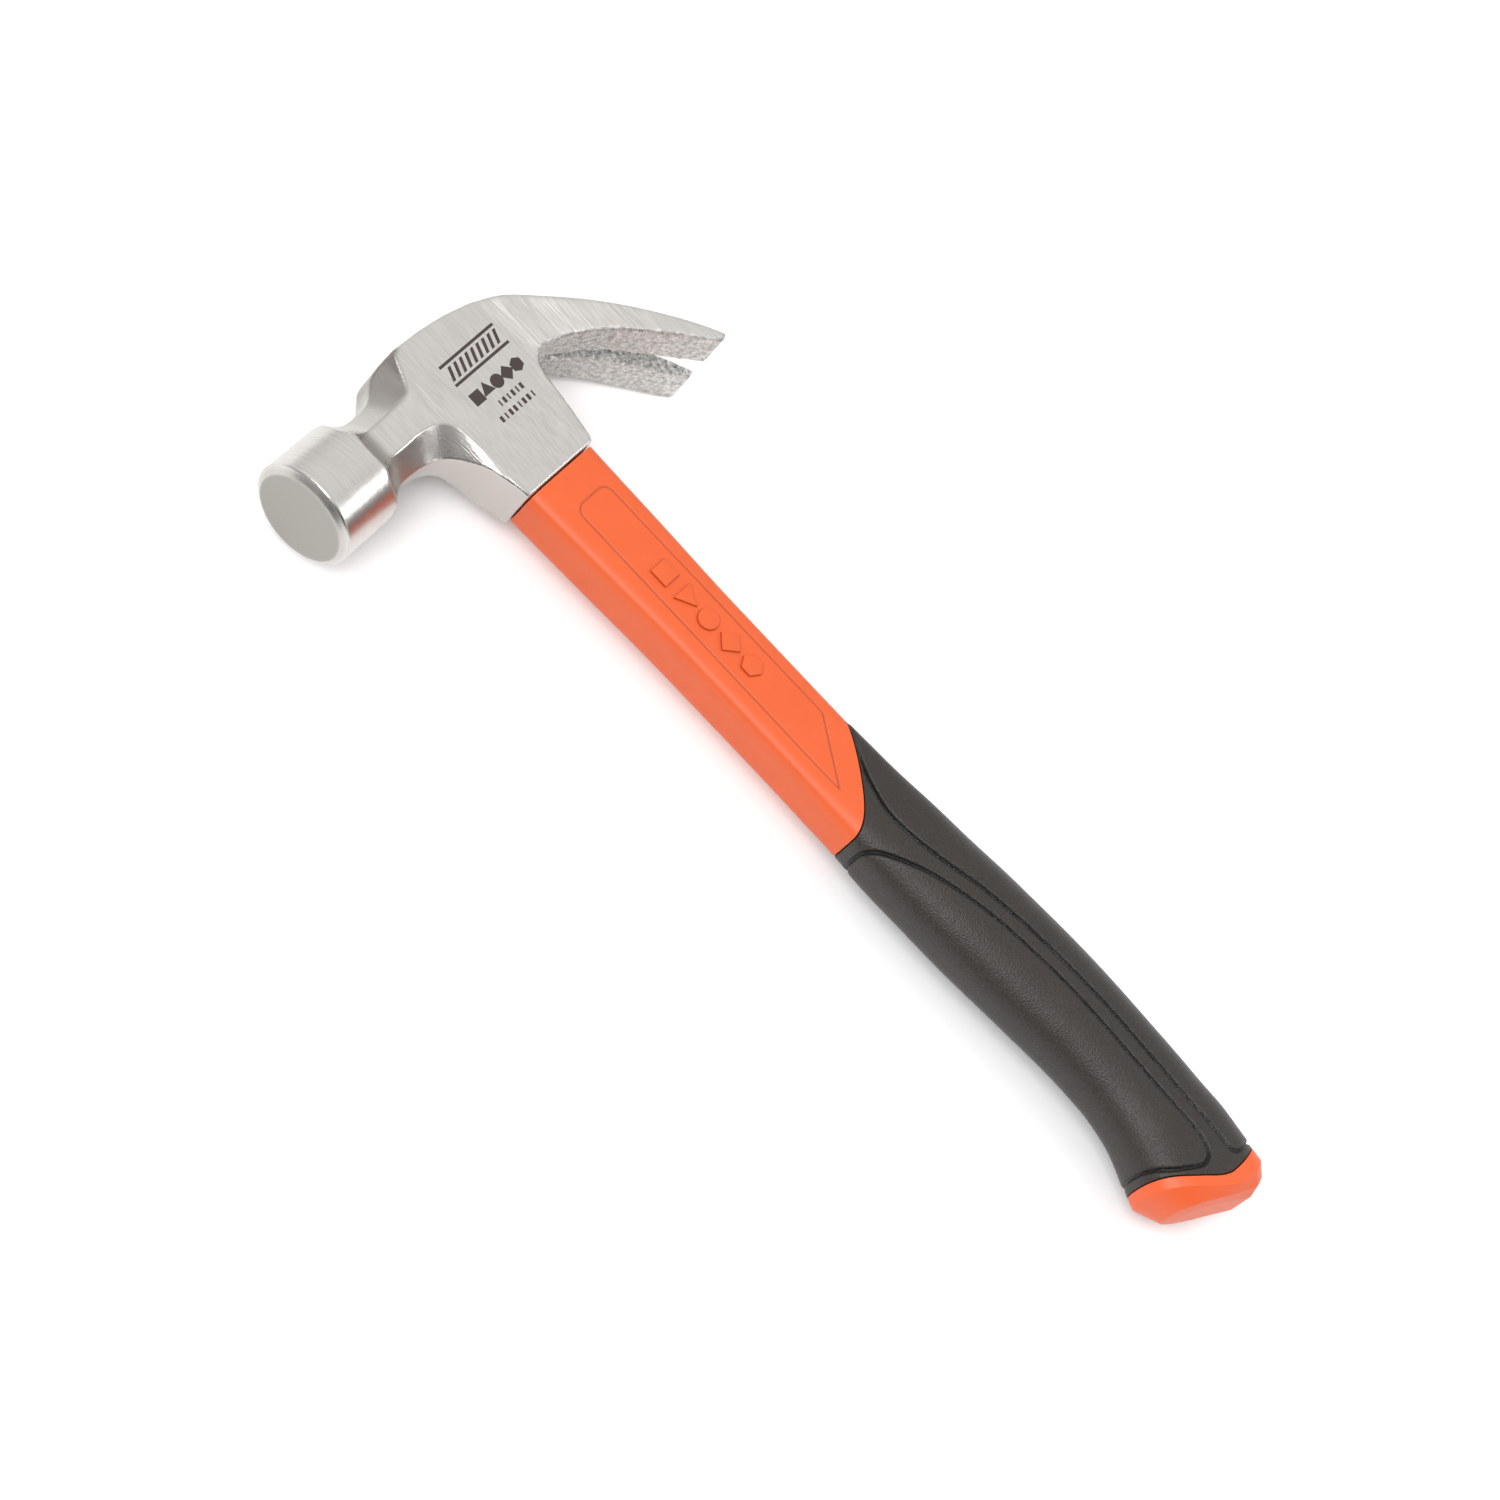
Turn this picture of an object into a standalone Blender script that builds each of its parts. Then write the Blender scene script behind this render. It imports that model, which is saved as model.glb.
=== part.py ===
"""Claw hammer, 20 oz: forged steel head, glass-fibre core bonded in its eye, moulded jacket, rubber grip
and butt cap.

The hammer lies on its side. +X runs from the head to the butt, +Y towards the claws and +Z up, through the
near cheek. Sizes are in millimetres. While a shape is worked out, x = 0 is the foot of the head, where the
jacket starts, y = 0 is the handle's middle there and z = 0 is the plane that the hammer is symmetric about.
The empty that all pieces hang on then sets the model down on z = 0 with its box centred.
"""

import math

import bmesh
import bpy
from mathutils import Vector

MM = 0.001

# Overall sizes
HANDLE_LENGTH = 277.8  # foot of the head to the tip of the butt
CROWN_HEIGHT = 55.1  # foot of the head to the top of the crown
FACE_REACH = 66.9  # handle's middle to the striking face
CLAW_REACH = 64.9  # handle's middle to the claws' tips
CLAW_DROP = 2.4  # how far the tips reach past the foot of the head

# Striking end
BELL_RADIUS = 16.5
BELL_REAR_RADIUS = 16.1
FACE_RADIUS = 14.2
FACE_CHAMFER = 1.8
BELL_AXIS = 37.7  # height of the bell's axis above the foot
NECK_NEAR = 11.4  # from the bell's axis to the flats of the eight-sided neck
NECK_TOP = 10.8
NECK_FOOT = 11.5
NECK_FLARE_START = 37.0  # where the flats start to flare into the bell
NECK_FLARE_RADIUS = 8.0
NECK_FLARE_MOST = 22.0
OCTAGON = math.tan(math.radians(22.5))  # half a flat's width for each unit of distance from the axis

# Cheeks and claws
CHEEK_HALF = 11.7
CHEEK_HALF_AT_FOOT = 9.7
CHEEK_TAPER_HEIGHT = 28.0
CHEEK_HALF_DEPTH = 14.2
CLAW_TIP_HALF = 19.9
EDGE_CHAMFER = 0.6
SLOT_TIP_HALF = 4.9
SLOT_ROOT_HALF = 0.9
SLOT_ROOT_REACH = 27.5  # handle's middle to the root of the nail slot
SLOT_LEAN = 8.0  # degrees that the slot leans with the claws

# Eye, core and bond
CORE_DEPTH = 15.0
CORE_WIDTH = 10.4
CORE_SQUARENESS = 2.6
CORE_SINK = 4.0  # how far the core's end lies below the top of the crown
BOND_WAIST = 1.1  # space for resin around the core at the eye's waist
BOND_FOOT = 1.5
BOND_TOP = 2.9
EYE_WAIST_HEIGHT = 26.0

# Handle
HEAD_INSET = 0.2  # how far the jacket stands in from the foot of the head
JACKET_LENGTH = 103.0  # foot of the head to where the grip starts, along the handle's back
TONGUE_LENGTH = 26.7  # how much further the jacket reaches along the handle's front
TONGUE_CURVE = 1.5
SLEEVE_WALL = 1.8  # wall of the jacket around the core, where the grip covers it
SLEEVE_END_MARGIN = 20.5  # end of the sleeve to the tip of the butt
SOCKET_DEPTH = 6.0  # how far the core reaches into the butt cap
BUTT_TIP = 3.0  # how far behind the handle's middle the butt's tip is
BUTT_SLOPE = 29.2  # degrees that the end face leans, in front of the tip
BUTT_BACK_SLOPE = 10.0
BUTT_FACE_FRONT_SHARE = 0.6  # reach of the end face against the cap's section, in front of its middle
BUTT_FACE_BACK_SHARE = 0.72  # behind its middle
BUTT_FACE_WIDTH_SHARE = 0.45  # and to the sides
BUTT_SHOULDER_IN = 0.42  # where the facet round the end face bends, as shares of its width and its height
BUTT_SHOULDER_UP = 0.76

GAP = 0.3  # clearance between pieces that touch
AROUND = 40  # faces around the handle, the core and the eye
BELL_AROUND = 72

# Places along the handle run from -1 at the head over 0, where the grip starts, to 1 at the butt's tip.
# Each outline pairs a place with a distance from the handle's middle.
BACK_LINE = [
    (-1.0, CHEEK_HALF_DEPTH - HEAD_INSET),
    (-0.72, 13.6),
    (-0.43, 13.0),
    (0.0, 13.1),
    (0.085, 13.8),
    (0.22, 16.2),
    (0.385, 18.7),
    (0.55, 19.8),
    (0.714, 19.1),
    (0.856, 17.4),
    (0.93, 15.2),
    (1.04, 12.4),
]
FRONT_LINE = [
    (-1.0, CHEEK_HALF_DEPTH - HEAD_INSET),
    (-0.72, 13.1),
    (-0.43, 12.1),
    (0.0, 11.8),
    (0.11, 12.3),
    (0.28, 13.8),
    (0.385, 13.6),
    (0.52, 12.4),
    (0.645, 11.4),
    (0.714, 11.8),
    (0.776, 13.6),
    (0.844, 18.2),
    (0.886, 21.2),
    (0.923, 22.7),
    (1.04, 23.2),
]
THICKNESS_LINE = [
    (-1.0, CHEEK_HALF_AT_FOOT - HEAD_INSET),
    (0.0, 9.5),
    (0.09, 9.9),
    (0.25, 11.9),
    (0.41, 12.6),
    (0.58, 12.6),
    (0.714, 12.2),
    (0.80, 12.6),
    (0.87, 13.6),
    (0.93, 14.1),
    (1.04, 13.8),
]
SQUARENESS_LINE = [(-1.0, 5.5), (0.0, 5.5), (0.165, 3.4), (0.31, 2.5), (0.80, 2.4), (0.87, 2.6), (1.04, 2.8)]
# Where the butt cap and the facet round its end face start, as (y, distance before the butt's tip)
CAP_LINE = [(-22.0, 25.6), (-16.0, 21.4), (-9.0, 15.1), (-3.0, 10.4), (0.0, 9.3), (6.0, 9.0), (15.0, 9.6)]
FACET_LINE = [(-22.0, 21.6), (-16.0, 17.4), (-9.0, 11.2), (-3.0, 6.7), (0.0, 5.4), (6.0, 4.8), (15.0, 5.6)]


def smooth(points, at):
    """The value at `at` of a smooth curve through (place, value) points, by monotone cubic steps."""
    if at <= points[0][0]:
        return points[0][1]
    if at >= points[-1][0]:
        return points[-1][1]
    slopes = [(b[1] - a[1]) / (b[0] - a[0]) for a, b in zip(points, points[1:])]
    tangents = [slopes[0]]
    for before, after in zip(slopes, slopes[1:]):
        tangents.append(0.0 if before * after <= 0 else 2 * before * after / (before + after))
    tangents.append(slopes[-1])
    for index, (low, high) in enumerate(zip(points, points[1:])):
        if at <= high[0]:
            span = high[0] - low[0]
            t = (at - low[0]) / span
            return (
                (2 * t**3 - 3 * t**2 + 1) * low[1]
                + (t**3 - 2 * t**2 + t) * span * tangents[index]
                + (-2 * t**3 + 3 * t**2) * high[1]
                + (t**3 - t**2) * span * tangents[index + 1]
            )


def blend(low, high, value):
    """0 below low, 1 above high and a smooth step between."""
    t = min(max((value - low) / (high - low), 0.0), 1.0)
    return t * t * (3 - 2 * t)


def catmull(points, steps):
    """Points of a smooth curve through the given tuples, with `steps` of them to each span."""
    ends = [points[0]] + list(points) + [points[-1]]
    curve = []
    for span in zip(ends, ends[1:], ends[2:], ends[3:]):
        for step in range(steps):
            t = step / steps
            values = []
            for p, q, r, s in zip(*span):
                bend = 2 * p - 5 * q + 4 * r - s
                values.append(0.5 * (2 * q + (r - p) * t + bend * t**2 + (3 * q - p - 3 * r + s) * t**3))
            curve.append(tuple(values))
    curve.append(points[-1])
    return curve


def material(name, colour, roughness, metallic=0.0):
    made = bpy.data.materials.new(name)
    made.use_nodes = True
    shader = made.node_tree.nodes["Principled BSDF"]
    shader.inputs["Base Color"].default_value = (*colour, 1.0)
    shader.inputs["Roughness"].default_value = roughness
    shader.inputs["Metallic"].default_value = metallic
    made.diffuse_color = (*colour, 1.0)
    return made


def solid(name, points, faces, finish=None, sharp_degrees=30):
    """A mesh object from points in millimetres. A cutter has no finish and stays out of the render."""
    mesh = bpy.data.meshes.new(name)
    mesh.from_pydata([Vector(point) * MM for point in points], [], faces)
    work = bmesh.new()
    work.from_mesh(mesh)
    bmesh.ops.remove_doubles(work, verts=work.verts, dist=1e-7)
    bmesh.ops.triangulate(work, faces=[face for face in work.faces if len(face.verts) > 4])
    bmesh.ops.recalc_face_normals(work, faces=work.faces)
    work.to_mesh(mesh)
    work.free()
    mesh.shade_smooth()
    mesh.set_sharp_from_angle(angle=math.radians(sharp_degrees))
    thing = bpy.data.objects.new(name, mesh)
    bpy.context.scene.collection.objects.link(thing)
    if finish:
        mesh.materials.append(finish)
    else:
        thing.hide_render = True
        thing.display_type = "WIRE"
    return thing


def boolean(target, cutter, operation):
    modifier = target.modifiers.new(cutter.name, "BOOLEAN")
    modifier.operation = operation
    modifier.solver = "EXACT"
    modifier.object = cutter


def rings_to_faces(rings, around, closed=False):
    """Quads between rings of points. Closed joins the last ring to the first; open ends are capped."""
    faces = []
    pairs = list(zip(range(rings), range(1, rings)))
    if closed:
        pairs.append((rings - 1, 0))
    for low, high in pairs:
        for side in range(around):
            after = (side + 1) % around
            ends = (low * around + side, low * around + after, high * around + after, high * around + side)
            faces.append(ends)
    if not closed:
        faces.append(tuple(range(around)))
        faces.append(tuple((rings - 1) * around + side for side in range(around)))
    return faces


def ladder(first, around):
    """Fills a ring across its symmetric halves, so that each face lies along z and keeps the ring's slopes."""
    faces = [(first, first + 1, first + around - 1)]
    for side in range(1, around // 2 - 1):
        faces.append((first + side, first + side + 1, first + around - side - 1, first + around - side))
    last = first + around // 2
    faces.append((last - 1, last, last + 1))
    return faces


def oval(depth, width, squareness, around):
    """(y, z) points around a squared oval of this depth along y and width along z."""
    points = []
    for side in range(around):
        angle = 2 * math.pi * side / around
        across, up = math.cos(angle), math.sin(angle)
        points.append(
            (
                math.copysign(abs(across) ** (2 / squareness), across) * depth / 2,
                math.copysign(abs(up) ** (2 / squareness), up) * width / 2,
            )
        )
    return points


# Head


def side_half(y, height):
    """Half the head's thickness at a place on its side: cheeks that taper to the foot, claws that flare."""
    cheek = CHEEK_HALF_AT_FOOT + (CHEEK_HALF - CHEEK_HALF_AT_FOOT) * min(max(height, 0) / CHEEK_TAPER_HEIGHT, 1)
    flare = CLAW_TIP_HALF - CHEEK_HALF
    claws = smooth(
        [
            (0.0, CHEEK_HALF),
            (0.24, CHEEK_HALF + 0.23 * flare),
            (0.45, CHEEK_HALF + 0.52 * flare),
            (0.70, CHEEK_HALF + 0.79 * flare),
            (1.0, CLAW_TIP_HALF),
        ],
        (y - CHEEK_HALF_DEPTH) / (CLAW_REACH - CHEEK_HALF_DEPTH),
    )
    share = blend(CHEEK_HALF_DEPTH, CHEEK_HALF_DEPTH + 8.0, y)
    return cheek * (1 - share) + claws * share


def neck_rung(y, side):
    """One rung of the eight-sided neck. The side is 1 above the bell's axis and -1 below it."""
    past = max(-y - NECK_FLARE_START, 0.0)
    flare = min(past**2 / (2 * NECK_FLARE_RADIUS), NECK_FLARE_MOST - NECK_NEAR)
    reach = (NECK_TOP if side > 0 else NECK_FOOT) + flare
    near = NECK_NEAR + flare
    return y, BELL_AXIS + side * reach, OCTAGON * near, y, BELL_AXIS + side * OCTAGON * near, near


def edge_rungs(points, side):
    """Rungs of a plain edge: each point of the outline, and that point moved in by the edge's chamfer."""
    rungs = []
    for before, (y, height), after in zip([points[0]] + points, points, points[1:] + [points[-1]]):
        along = Vector((after[0] - before[0], after[1] - before[1])).normalized()
        edge_y = y + side * along.y * EDGE_CHAMFER
        edge_height = height - side * along.x * EDGE_CHAMFER
        half = side_half(edge_y, edge_height)
        rungs.append((y, height, half - EDGE_CHAMFER, edge_y, edge_height, half))
    return rungs


def claw(reach_share, height_share):
    """A point of the claws' outline, as shares of their reach past the cheek and of the head's height."""
    y = CHEEK_HALF_DEPTH + reach_share * (CLAW_REACH - CHEEK_HALF_DEPTH)
    return y, -CLAW_DROP + height_share * (CROWN_HEIGHT + CLAW_DROP)


# A rung crosses the head's outline. It holds the y and height of the outline's middle, half the width that
# is flat there, and the y, height and half-width of the near face's edge. The strip between is a chamfer.
# The upper and the lower outline have the same number of rungs, so that each pair makes one section.


def neck_rungs(side):
    far = -FACE_REACH - 3.0
    flared = -NECK_FLARE_START - 13.0
    rungs = [neck_rung(y, side) for y in (far, flared)]
    return rungs + [neck_rung(-NECK_FLARE_START - past, side) for past in (10.0, 7.5, 5.0, 2.5, 0.0)]


def upper_rungs():
    """Over the neck, up the scooped front of the crown, and down the back of the claws to their tips."""
    front = -CHEEK_HALF_DEPTH
    back = CHEEK_HALF_DEPTH
    top = CROWN_HEIGHT
    flat = OCTAGON * NECK_NEAR
    ledge = BELL_AXIS + flat
    scoop = [
        (front - 18.0, top - 6.4, flat, front - 18.0, ledge, NECK_NEAR),
        (front - 14.4, top - 5.6, flat, front - 14.4, ledge, NECK_NEAR),
        (front - 11.6, top - 3.5, flat + 0.2, front - 11.2, ledge, CHEEK_HALF - 0.1),
        (front - 9.2, top - 1.6, flat + 0.9, front - 8.6, ledge + 0.2, CHEEK_HALF),
        (front - 6.8, top - 0.7, flat + 2.0, front - 6.6, ledge + 1.6, CHEEK_HALF),
        (front - 4.6, top - 0.3, flat + 3.4, front - 4.9, ledge + 4.4, CHEEK_HALF),
        (front - 2.8, top - 0.1, flat + 4.8, front - 3.5, ledge + 7.7, CHEEK_HALF),
        (front - 1.4, top, flat + 5.9, front - 2.1, ledge + 10.8, CHEEK_HALF),
    ]
    crown = [
        (front + 0.2, top),
        (front + 2.2, top),
        (-4.0, top - 0.4),
        (5.0, top - 1.5),
        (back - 2.2, top - 3.0),
        (back - 1.0, top - 3.3),
        (back + 0.4, top - 3.7),
        (back + 2.0, top - 4.3),
        (back + 4.2, top - 5.2),
        (back + 7.0, top - 6.6),
        claw(0.213, 0.842),
        claw(0.34, 0.738),
        claw(0.50, 0.596),
        claw(0.657, 0.438),
        claw(0.80, 0.274),
        claw(0.92, 0.119),
        claw(1.0, -0.006),
    ]
    return neck_rungs(1) + scoop + edge_rungs(crown, 1)


def lower_rungs():
    """Under the neck, down the front of the cheeks, across the foot, and up inside the claws to their tips."""
    front = -CHEEK_HALF_DEPTH
    back = CHEEK_HALF_DEPTH
    flat = OCTAGON * NECK_NEAR
    under = BELL_AXIS - NECK_FOOT
    ledge = BELL_AXIS - flat
    fillet = [
        (front - 18.0, under - 0.1, flat, front - 18.0, ledge, NECK_NEAR),
        (front - 14.8, under - 0.5, flat, front - 14.0, ledge + 0.2, NECK_NEAR),
        (front - 11.6, under - 1.5, flat + 0.5, front - 10.2, ledge - 0.3, CHEEK_HALF - 0.1),
        (front - 8.8, under - 3.1, flat + 0.9, front - 6.3, ledge - 1.5, CHEEK_HALF),
        (front - 6.6, under - 5.6, flat + 1.7, front - 3.5, ledge - 4.0, CHEEK_HALF),
        (front - 4.9, under - 8.9, flat + 3.0, front - 2.2, ledge - 8.2, side_half(0, ledge - 8.2)),
        (front - 3.4, under - 12.7, flat + 4.6, front - 1.4, ledge - 14.5, side_half(0, ledge - 14.5)),
        (front - 2.3, under - 16.6, flat + 5.1, front - 0.7, ledge - 20.5, side_half(0, ledge - 20.5)),
    ]
    low = [(front - 1.1, 5.3), (front, 0.0)]
    foot = [(front / 3, 0.0), (back / 3, 0.0), (back - 1.6, 0.0)]
    rear = [
        (back, 0.8),
        (back + 0.6, 4.0),
        (back + 1.6, 12.0),
        (back + 2.3, 20.0),
        (back + 3.1, 25.2),
        claw(0.107, 0.536),
        claw(0.174, 0.543),
        claw(0.349, 0.473),
        claw(0.535, 0.357),
        claw(0.698, 0.214),
        claw(0.858, 0.062),
        claw(0.95, -0.022),
    ]
    return neck_rungs(-1) + fillet + edge_rungs(low + foot + rear, -1)


def section_of(upper, lower):
    """The ring of (y, height, z) points around the head between an upper and a lower rung."""
    rows = 4
    near = [(upper[0], upper[1], upper[2])]
    for row in range(rows + 1):
        share = row / rows
        y = upper[3] + (lower[3] - upper[3]) * share
        height = upper[4] + (lower[4] - upper[4]) * share
        half = upper[5] + (lower[5] - upper[5]) * share
        if y > -CHEEK_HALF_DEPTH - 3.0:
            half = side_half(y, height)
        near.append((y, height, half))
    near.append((lower[0], lower[1], lower[2]))
    return near + [(y, height, -half) for y, height, half in reversed(near)]


def eye_oval(height, clearance):
    """The eye's section at a height above the foot: narrowest at its waist, so that the bond can't pull out."""
    room = smooth([(0.0, BOND_FOOT), (EYE_WAIST_HEIGHT, BOND_WAIST), (CROWN_HEIGHT, BOND_TOP)], height)
    room -= clearance
    return oval(CORE_DEPTH + 2 * room, CORE_WIDTH + 2 * room, CORE_SQUARENESS, AROUND)


def eye_heights():
    """Heights of the rings that both the eye and the bond in it are made of, from the foot up."""
    return [CROWN_HEIGHT * row / 7 for row in range(6)]


def make_head(steel):
    upper = catmull(upper_rungs(), 2)
    lower = lower_rungs()
    corner = 16
    heel = 19
    lower = (
        catmull(lower[: corner + 1], 2)[:-1]
        + catmull(lower[corner : heel + 1], 2)[:-1]
        + catmull(lower[heel:], 2)
    )
    rings = [section_of(high, low) for high, low in zip(upper, lower)]
    points = [(-height, y, z) for ring in rings for y, height, z in ring]
    head = solid("head", points, rings_to_faces(len(rings), len(rings[0])), steel)

    envelope = [
        (CLAW_REACH + 20.0, 0.0),
        (CLAW_REACH + 20.0, 120.0),
        (-NECK_FLARE_START + 1.0, 120.0),
        (-NECK_FLARE_START + 1.0, BELL_REAR_RADIUS),
        (-FACE_REACH + FACE_CHAMFER, BELL_RADIUS),
        (-FACE_REACH, FACE_RADIUS),
        (-FACE_REACH, 0.0),
    ]
    turned = []
    for y, radius in envelope[1:-1]:
        for side in range(BELL_AROUND):
            angle = 2 * math.pi * side / BELL_AROUND
            turned.append((-BELL_AXIS + radius * math.cos(angle), y, radius * math.sin(angle)))
    bell = solid("bell_envelope", turned, rings_to_faces(len(envelope) - 2, BELL_AROUND))
    boolean(head, bell, "INTERSECT")

    heights = [-1.0] + eye_heights() + [CROWN_HEIGHT + 1.0]
    cut = [(-height, y, z) for height in heights for y, z in eye_oval(height, 0.0)]
    boolean(head, solid("eye_cutter", cut, rings_to_faces(len(heights), AROUND)), "DIFFERENCE")

    lean = math.tan(math.radians(SLOT_LEAN))
    widen = (SLOT_TIP_HALF - SLOT_ROOT_HALF) / (CLAW_REACH - SLOT_ROOT_REACH)
    past = 20.0
    slot = []
    for height in (-CLAW_DROP - 10.0, CROWN_HEIGHT + 5.0):
        shift = lean * (height - CROWN_HEIGHT / 2)
        root = SLOT_ROOT_REACH + shift
        tip_half = SLOT_TIP_HALF + widen * past
        slot += [(-height, root, SLOT_ROOT_HALF), (-height, CLAW_REACH + past + shift, tip_half)]
        slot += [(-height, CLAW_REACH + past + shift, -tip_half), (-height, root, -SLOT_ROOT_HALF)]
        slot.append((-height, root - SLOT_ROOT_HALF, 0.0))
    boolean(head, solid("slot_cutter", slot, rings_to_faces(2, 5)), "DIFFERENCE")
    return head


# Core and bond


def make_core(fibreglass):
    start = -CROWN_HEIGHT + CORE_SINK
    end = HANDLE_LENGTH - SLEEVE_END_MARGIN + SOCKET_DEPTH
    section = oval(CORE_DEPTH, CORE_WIDTH, CORE_SQUARENESS, AROUND)
    points = [(x, y, z) for x in (start, end) for y, z in section]
    return solid("handle_core", points, rings_to_faces(2, AROUND), fibreglass)


def make_bond(resin):
    top = CROWN_HEIGHT - CORE_SINK
    heights = [GAP] + eye_heights()[1:] + [top]
    inner = oval(CORE_DEPTH + 2 * GAP, CORE_WIDTH + 2 * GAP, CORE_SQUARENESS, AROUND)
    points = [(-height, y, z) for height in heights for y, z in eye_oval(height, GAP)]
    points += [(-height, y, z) for height in (top, GAP) for y, z in inner]
    return solid("eye_bond", points, rings_to_faces(len(heights) + 2, AROUND, closed=True), resin)


# Handle


def place_of(x):
    if x < JACKET_LENGTH:
        return x / JACKET_LENGTH - 1.0
    return (x - JACKET_LENGTH) / (HANDLE_LENGTH - JACKET_LENGTH)


def handle_point(x, side):
    """A point of the handle's skin: the given side of its squared oval at x."""
    place = place_of(x)
    back = smooth(BACK_LINE, place)
    front = smooth(FRONT_LINE, place)
    half = smooth(THICKNESS_LINE, place)
    y, z = oval(back + front, 2 * half, smooth(SQUARENESS_LINE, place), AROUND)[side]
    return x, y + (back - front) / 2, z


def tongue_x(y):
    """Where the jacket ends and the grip starts, which is further along at the handle's front."""
    back = smooth(BACK_LINE, 0.0)
    front = smooth(FRONT_LINE, 0.0)
    share = min(max((y + front) / (back + front), 0.0), 1.0)
    return JACKET_LENGTH + TONGUE_LENGTH * (1 - share**TONGUE_CURVE)


def cap_x(y):
    return HANDLE_LENGTH - smooth(CAP_LINE, y)


def facet_x(y):
    return HANDLE_LENGTH - smooth(FACET_LINE, y)


def end_x(y):
    """The butt's end face, which leans both ways from its tip."""
    slope = BUTT_SLOPE if y < BUTT_TIP else BUTT_BACK_SLOPE
    return HANDLE_LENGTH - math.tan(math.radians(slope)) * abs(y - BUTT_TIP)


def flat_at(x):
    return lambda y: x


def moved(edge, distance):
    """An edge moved along the handle, so far that the space between them is this wide where they slope too."""
    return lambda y: edge(y) + distance * math.hypot(1.0, edge(y + 0.5) - edge(y - 0.5))


def skin_ring(edge):
    """Points around the skin where it meets an edge, which is given as x for each y."""
    ring = []
    for side in range(AROUND):
        x = edge(0.0)
        for _ in range(12):
            x = edge(handle_point(x, side)[1])
        ring.append(handle_point(x, side))
    return ring


def skin_rings(first, last, count):
    """Rings of the skin from one ring's places to another's."""
    rings = []
    for index in range(count):
        share = index / (count - 1)
        places = [a[0] + (b[0] - a[0]) * share for a, b in zip(first, last)]
        rings.append([handle_point(x, side) for side, x in enumerate(places)])
    return rings


def bore_ring(edge, clearance):
    """Where an edge meets the core's section, made this much larger all round."""
    section = oval(CORE_DEPTH + 2 * clearance, CORE_WIDTH + 2 * clearance, CORE_SQUARENESS, AROUND)
    return [(edge(y), y, z) for y, z in section]


def end_rings(edge, first, last):
    """Rings across the end face that an edge cuts, between a ring at its rim and one at its bore."""
    rings = []
    for share in (0.25, 0.5, 0.75):
        rings.append([])
        for a, b in zip(first, last):
            y = a[1] + (b[1] - a[1]) * share
            rings[-1].append((edge(y), y, a[2] + (b[2] - a[2]) * share))
    return [first] + rings + [last]


def make_jacket(polypropylene):
    foot = flat_at(GAP)
    sleeve_end = flat_at(HANDLE_LENGTH - SLEEVE_END_MARGIN)
    tongue = skin_ring(tongue_x)
    rings = skin_rings(skin_ring(foot), tongue, 14)[:-1]
    rings += end_rings(tongue_x, tongue, bore_ring(tongue_x, GAP + SLEEVE_WALL))
    rings.append(bore_ring(sleeve_end, GAP + SLEEVE_WALL))
    rings.append(bore_ring(sleeve_end, GAP))
    rings.append(bore_ring(foot, GAP))
    points = [point for ring in rings for point in ring]
    return solid("jacket", points, rings_to_faces(len(rings), AROUND, closed=True), polypropylene)


def make_grip(rubber):
    start = moved(tongue_x, GAP)
    end = moved(cap_x, -GAP)
    bore = GAP + SLEEVE_WALL + GAP
    first = skin_ring(start)
    last = skin_ring(end)
    rings = skin_rings(first, last, 26)[1:-1]
    rings += end_rings(end, last, bore_ring(end, bore))
    rings += end_rings(start, bore_ring(start, bore), first)
    points = [point for ring in rings for point in ring]
    return solid("grip", points, rings_to_faces(len(rings), AROUND, closed=True), rubber)


def make_butt_cap(polypropylene):
    boss = flat_at(HANDLE_LENGTH - SLEEVE_END_MARGIN + GAP)
    socket = flat_at(HANDLE_LENGTH - SLEEVE_END_MARGIN + SOCKET_DEPTH + GAP)
    facet = skin_ring(facet_x)
    middle = (smooth(BACK_LINE, 1.0) - smooth(FRONT_LINE, 1.0)) / 2
    face = []
    for _, y, z in facet:
        y = middle + (y - middle) * (BUTT_FACE_FRONT_SHARE if y < middle else BUTT_FACE_BACK_SHARE)
        face.append((end_x(y), y, z * BUTT_FACE_WIDTH_SHARE))
    start = skin_ring(cap_x)
    rings = [bore_ring(socket, GAP), bore_ring(boss, GAP), bore_ring(boss, GAP + SLEEVE_WALL)]
    rings += end_rings(cap_x, bore_ring(cap_x, GAP + SLEEVE_WALL), start)
    rings += skin_rings(start, facet, 5)[1:]
    shoulder = []
    for a, b in zip(facet, face):
        x = a[0] + (b[0] - a[0]) * BUTT_SHOULDER_UP
        shoulder.append((x, a[1] + (b[1] - a[1]) * BUTT_SHOULDER_IN, a[2] + (b[2] - a[2]) * BUTT_SHOULDER_IN))
    rings += [shoulder, face]
    points = [point for ring in rings for point in ring]
    faces = rings_to_faces(len(rings), AROUND)[:-1] + ladder((len(rings) - 1) * AROUND, AROUND)
    return solid("butt_cap", points, faces, polypropylene, 20)


def set_down(pieces):
    """Hangs the pieces on one empty, which sets the model's box down on z = 0 with its middle over the origin."""
    bpy.context.view_layer.update()
    graph = bpy.context.evaluated_depsgraph_get()
    corners = []
    for piece in pieces:
        corners += [Vector(corner) for corner in piece.evaluated_get(graph).bound_box]
    low = Vector([min(corner[axis] for corner in corners) for axis in range(3)])
    high = Vector([max(corner[axis] for corner in corners) for axis in range(3)])
    rig = bpy.data.objects.new("claw_hammer", None)
    bpy.context.scene.collection.objects.link(rig)
    rig.location = (-(low.x + high.x) / 2, -(low.y + high.y) / 2, -low.z)
    for thing in bpy.data.objects:
        if thing.type == "MESH":
            thing.parent = rig


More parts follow.
